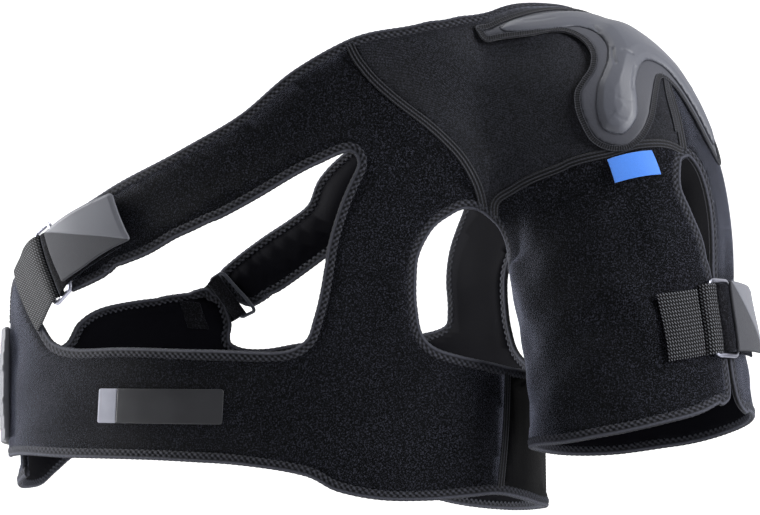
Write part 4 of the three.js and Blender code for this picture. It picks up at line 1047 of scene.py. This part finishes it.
# Shoulder pad. A three-armed guard of moulded impact foam: a matt flange, sewn down round its edge with
# blanket stitch, and on it the core, whose faces slope up to soft ridges with fine moulded grooves.
FLANGE_TOP, CORE_TOP, CROWN_TOP = 2.8, 6.0, 7.2
NECK_ARM_ENDS, NECK_ARM_SHARE = (1.61, 1.64), 0.32
FLANGE = smooth([
    (1.482, 0.617), (1.493, 0.642), (1.513, 0.607), (1.553, 0.529), (1.578, 0.455), (1.598, 0.42),
    (1.618, 0.422), (1.642, 0.469), (1.659, 0.572), (1.661, 0.674), (1.665, 0.745), (1.69, 0.81),
    (1.736, 0.837), (1.768, 0.8), (1.791, 0.712), (1.791, 0.607), (1.775, 0.494), (1.743, 0.349),
    (1.726, 0.204), (1.745, 0.13), (1.783, 0.1), (1.83, 0.06), (1.855, 0), (1.83, -0.06), (1.783, -0.12),
    (1.735, -0.22), (1.735, -0.42), (1.755, -0.58), (1.74, -0.7), (1.69, -0.68), (1.66, -0.56),
    (1.63, -0.46), (1.59, -0.44), (1.555, -0.5), (1.525, -0.5), (1.535, -0.36), (1.575, -0.15),
    (1.588, 0), (1.578, 0.14), (1.54, 0.36), (1.505, 0.52), (1.482, 0.617),
], 10)[:-1]
CORE = smooth([
    (1.508, 0.56), (1.518, 0.568), (1.552, 0.522), (1.587, 0.429), (1.607, 0.35), (1.627, 0.33),
    (1.648, 0.366), (1.666, 0.462), (1.675, 0.552), (1.684, 0.642), (1.712, 0.74), (1.739, 0.762),
    (1.768, 0.7), (1.761, 0.564), (1.74, 0.499), (1.72, 0.44), (1.704, 0.329), (1.7, 0.231),
    (1.707, 0.148), (1.722, 0.085), (1.76, 0.055), (1.8, 0.035), (1.828, 0.01), (1.828, -0.02),
    (1.78, -0.07), (1.73, -0.13), (1.712, -0.26), (1.715, -0.42), (1.735, -0.56), (1.725, -0.63),
    (1.695, -0.6), (1.67, -0.48), (1.64, -0.36), (1.61, -0.24), (1.6, -0.05), (1.59, 0.1),
    (1.573, 0.24), (1.547, 0.38), (1.52, 0.49), (1.508, 0.56),
], 10)[:-1]
GROOVES = [
    # depth in mm, places
    (1.0, [(1.663, 0.389), (1.671, 0.431), (1.68, 0.464)]),
    (0.8, [(1.674, 0.356), (1.679, 0.34), (1.685, 0.324)]),
    (0.8, [(1.621, 0.29), (1.626, 0.306), (1.633, 0.322)]),
    (1.0, [(1.7, 0.371), (1.711, 0.436), (1.723, 0.489)]),
    (0.25, [(1.719, 0.604), (1.729, 0.585), (1.738, 0.535)]),
    (0.25, [(1.732, 0.674), (1.746, 0.664), (1.757, 0.635)]),
    (0.4, [(1.54, 0.46), (1.557, 0.42), (1.572, 0.36)]),
]


def moulded(name, outline, base, height, cell):
    """A closed body over an outline: flat on its base, and height(spots) millimetres high above it."""
    low, high = outline.min(0) - 0.01, outline.max(0) + 0.01
    rows = np.arange(low[0], high[0], cell / ARCH)
    columns = np.arange(low[1], high[1], cell / QUARTER_TURN)
    spots, kept, _, touch = fitted_grid(outline, rows, columns)
    inner = touch == 4
    rise = np.zeros(kept.shape)
    rise[inner] = height(spots[inner])
    a, r = spots[..., 0], spots[..., 1]
    top, bottom = place(a, r, base + rise), place(a, r, np.full(a.shape, float(base)))
    uv = spots * np.array([ARCH, QUARTER_TURN]) * MM
    return closed_sheet(name, top, bottom, kept, UVMap=uv)


FLANGE_RIM, FOOT_RIM, FACET_WIDTH, ROOF_WIDTH = 1.6, 1.2, 3.8, 8.0
FOOT_SHARE, GROOVE_WIDTH, THINNEST = 0.36, 1.0, 0.1


def flange_height(spots):
    return (FLANGE_TOP - CLOTH / 2) * rounded_rim(from_edge(spots, FLANGE), FLANGE_RIM)


def core_height(spots):
    """A steep foot, a flat facet up to the core's height, then a low roof up to the crown's height.

    The arm that points to the neck is pressed thin, and the core steps up to its full height past it."""
    gap = from_edge(spots, CORE)
    step = np.clip((spots[:, 0] - NECK_ARM_ENDS[0]) / (NECK_ARM_ENDS[1] - NECK_ARM_ENDS[0]), 0, 1)
    full = NECK_ARM_SHARE + (1 - NECK_ARM_SHARE) * step * step * (3 - 2 * step)
    foot = (CORE_TOP - FLANGE_TOP) * FOOT_SHARE * rounded_rim(gap, FOOT_RIM)
    facet = (CORE_TOP - FLANGE_TOP) * (1 - FOOT_SHARE) * np.clip((gap - FOOT_RIM) / FACET_WIDTH, 0, 1)
    roof = (CROWN_TOP - CORE_TOP) * np.clip((gap - FOOT_RIM - FACET_WIDTH) / ROOF_WIDTH, 0, 1)
    height = (foot + facet + roof) * full
    for depth, places in GROOVES:
        from_groove = from_edge(spots, smooth(places), False)
        height = height - depth * np.exp(-(from_groove / GROOVE_WIDTH) ** 2)
    return np.maximum(height, THINNEST)


flange_foam = grained("pad_flange_foam", (700, 3.0), ((0.022, 0.023, 0.03), (0.042, 0.044, 0.056)),
                      (0.55, 0.2), (0.0002, 0.5), Specular_IOR_Level=0.35)
core_foam = Finish("pad_core_foam", Specular_IOR_Level=0.45)
core_dust = core_foam.noise(420, 3.0)
core_cloud = core_foam.noise(22, 2.0)
core_foam.colour(core_foam.mixed(
    core_cloud * 0.7 + core_dust * 0.3, (0.036, 0.038, 0.049), (0.064, 0.068, 0.085),
))
core_foam.rough(0.46 + 0.14 * core_dust)
core_foam.relief(core_dust, 0.00015, 0.5)
pad_flange = moulded("pad_flange", FLANGE, CLOTH / 2 - 0.4, flange_height, 2.0)
dress(pad_flange, flange_foam, "shoulder_pad_flange")
pad_core = moulded("pad_core", CORE, FLANGE_TOP - 0.3, core_height, 1.0)
dress(pad_core, core_foam.material, "shoulder_pad")
BLANKET_PITCH, BLANKET_HALF, BLANKET_STEP, BLANKET_SIDES = 1.7, 2.2, 0.4, 22


def blanket_section(s, v):
    """Blanket stitch: short threads laid across the flange's edge, over a cord at each side. Its tone is
    painted light that rises with height.
    """
    top, x = strip_sides(v, 0.7)
    threads = np.abs(np.cos(np.pi * s / BLANKET_PITCH)) ** 0.7
    cords = np.exp(-((np.abs(x) - 0.85) / 0.2) ** 2)
    height = 0.2 + 0.5 * threads * (1 - 0.35 * x ** 2) + 0.35 * cords
    # the third value is painted light: threads and cords lighter as a painted highlight, low parts darker
    # as painted shade
    return BLANKET_HALF * x + 0 * s, np.where(top, height, -1.2) + 0 * s, np.clip(height - 0.25, 0, 1)


for name, line, closed, lift in [
    ("pad_stitch", np.vstack([FLANGE, FLANGE[:1]]), True, 2.1),
    ("notch_stitch", smooth([(1.722, 0.144), (1.758, 0.267), (1.807, 0.342)]), False, 1.6),
]:
    stitch = swept(name, line, blanket_section, BLANKET_STEP, BLANKET_SIDES, closed, lift=lift)
    dress(stitch, seam_finish.material)


# Studio. A pale floor below the brace, which hangs where the shoulder would hold it, a white sky, and
# soft boxes: a broad one above, and a tall one at each side for the edges of the dark cloth.
FLOOR_REACH, FLOOR_LEVEL = 15.0, -0.72
floor = mesh_piece("studio_floor", np.array([
    (-FLOOR_REACH, -FLOOR_REACH, FLOOR_LEVEL), (FLOOR_REACH, -FLOOR_REACH, FLOOR_LEVEL),
    (FLOOR_REACH, FLOOR_REACH, FLOOR_LEVEL), (-FLOOR_REACH, FLOOR_REACH, FLOOR_LEVEL),
]), [(0, 1, 2, 3)])
floor_finish = Finish("floor_pale", Roughness=0.9, Specular_IOR_Level=0.1)
floor_finish.colour(floor_finish.mixed(floor_finish.noise(3.0, 2.0), (0.86, 0.86, 0.87), (0.9, 0.9, 0.9)))
floor.data.materials.append(floor_finish.material)
SKY_STRENGTH, WALL_DISTANCE, WALL_REACH = 0.18, 7.0, 9.0
wall = mesh_piece("studio_wall", np.array([
    (-WALL_REACH, WALL_DISTANCE, -WALL_REACH), (WALL_REACH, WALL_DISTANCE, -WALL_REACH),
    (WALL_REACH, WALL_DISTANCE, WALL_REACH), (-WALL_REACH, WALL_DISTANCE, WALL_REACH),
]), [(0, 1, 2, 3)])
wall_finish = Finish("wall_white", Roughness=0.9, Emission_Strength=1.0)
wall_finish.shader.inputs["Emission Color"].default_value = (1, 1, 1, 1)
wall.data.materials.append(wall_finish.material)
world = bpy.data.worlds.new("studio_sky")
bpy.context.scene.world = world
world.use_nodes = True
world.node_tree.nodes["Background"].inputs[0].default_value = (1, 1, 1, 1)
world.node_tree.nodes["Background"].inputs[1].default_value = SKY_STRENGTH
AIM = np.array([-0.1912, 0.0027, -0.1499])


def soft_box(name, spot, size, power):
    """An area light at a spot round the brace, turned towards its middle."""
    lamp = bpy.data.lights.new(name, "AREA")
    lamp.shape, lamp.size, lamp.size_y, lamp.energy = "RECTANGLE", *size, power
    holder = bpy.data.objects.new(name, lamp)
    bpy.context.scene.collection.objects.link(holder)
    holder.location = AIM + np.array(spot)
    aim_at(holder)


def aim_at(thing):
    thing.rotation_euler = (Vector(AIM) - thing.location).to_track_quat("-Z", "Y").to_euler()


soft_box("top_box", (-0.4, 0.1, 1.5), (0.9, 0.7), 16)
soft_box("left_box", (-1.5, -0.12, 0.35), (0.45, 1.3), 66)
soft_box("right_box", (1.4, -0.25, 0.6), (0.45, 1.3), 46)
AZIMUTH, ELEVATION = np.radians(20.0), np.radians(-5.5)
DISTANCE, FRAME_WIDTH, SENSOR = 3.2, 0.5522, 36
PHOTO_WIDTH, SHIFT_RIGHT, SHIFT_UP = 760, -6.5, 4.5
lens = bpy.data.cameras.new("photo_camera")
camera = bpy.data.objects.new("photo_camera", lens)
bpy.context.scene.collection.objects.link(camera)
camera.location = AIM + DISTANCE * np.array([
    np.sin(AZIMUTH) * np.cos(ELEVATION), -np.cos(AZIMUTH) * np.cos(ELEVATION), np.sin(ELEVATION),
])
aim_at(camera)
lens.sensor_width = SENSOR
lens.lens = SENSOR * DISTANCE / FRAME_WIDTH
lens.shift_x, lens.shift_y = SHIFT_RIGHT / PHOTO_WIDTH, SHIFT_UP / PHOTO_WIDTH
bpy.context.scene.camera = camera
bpy.context.scene.view_settings.view_transform = "Standard"
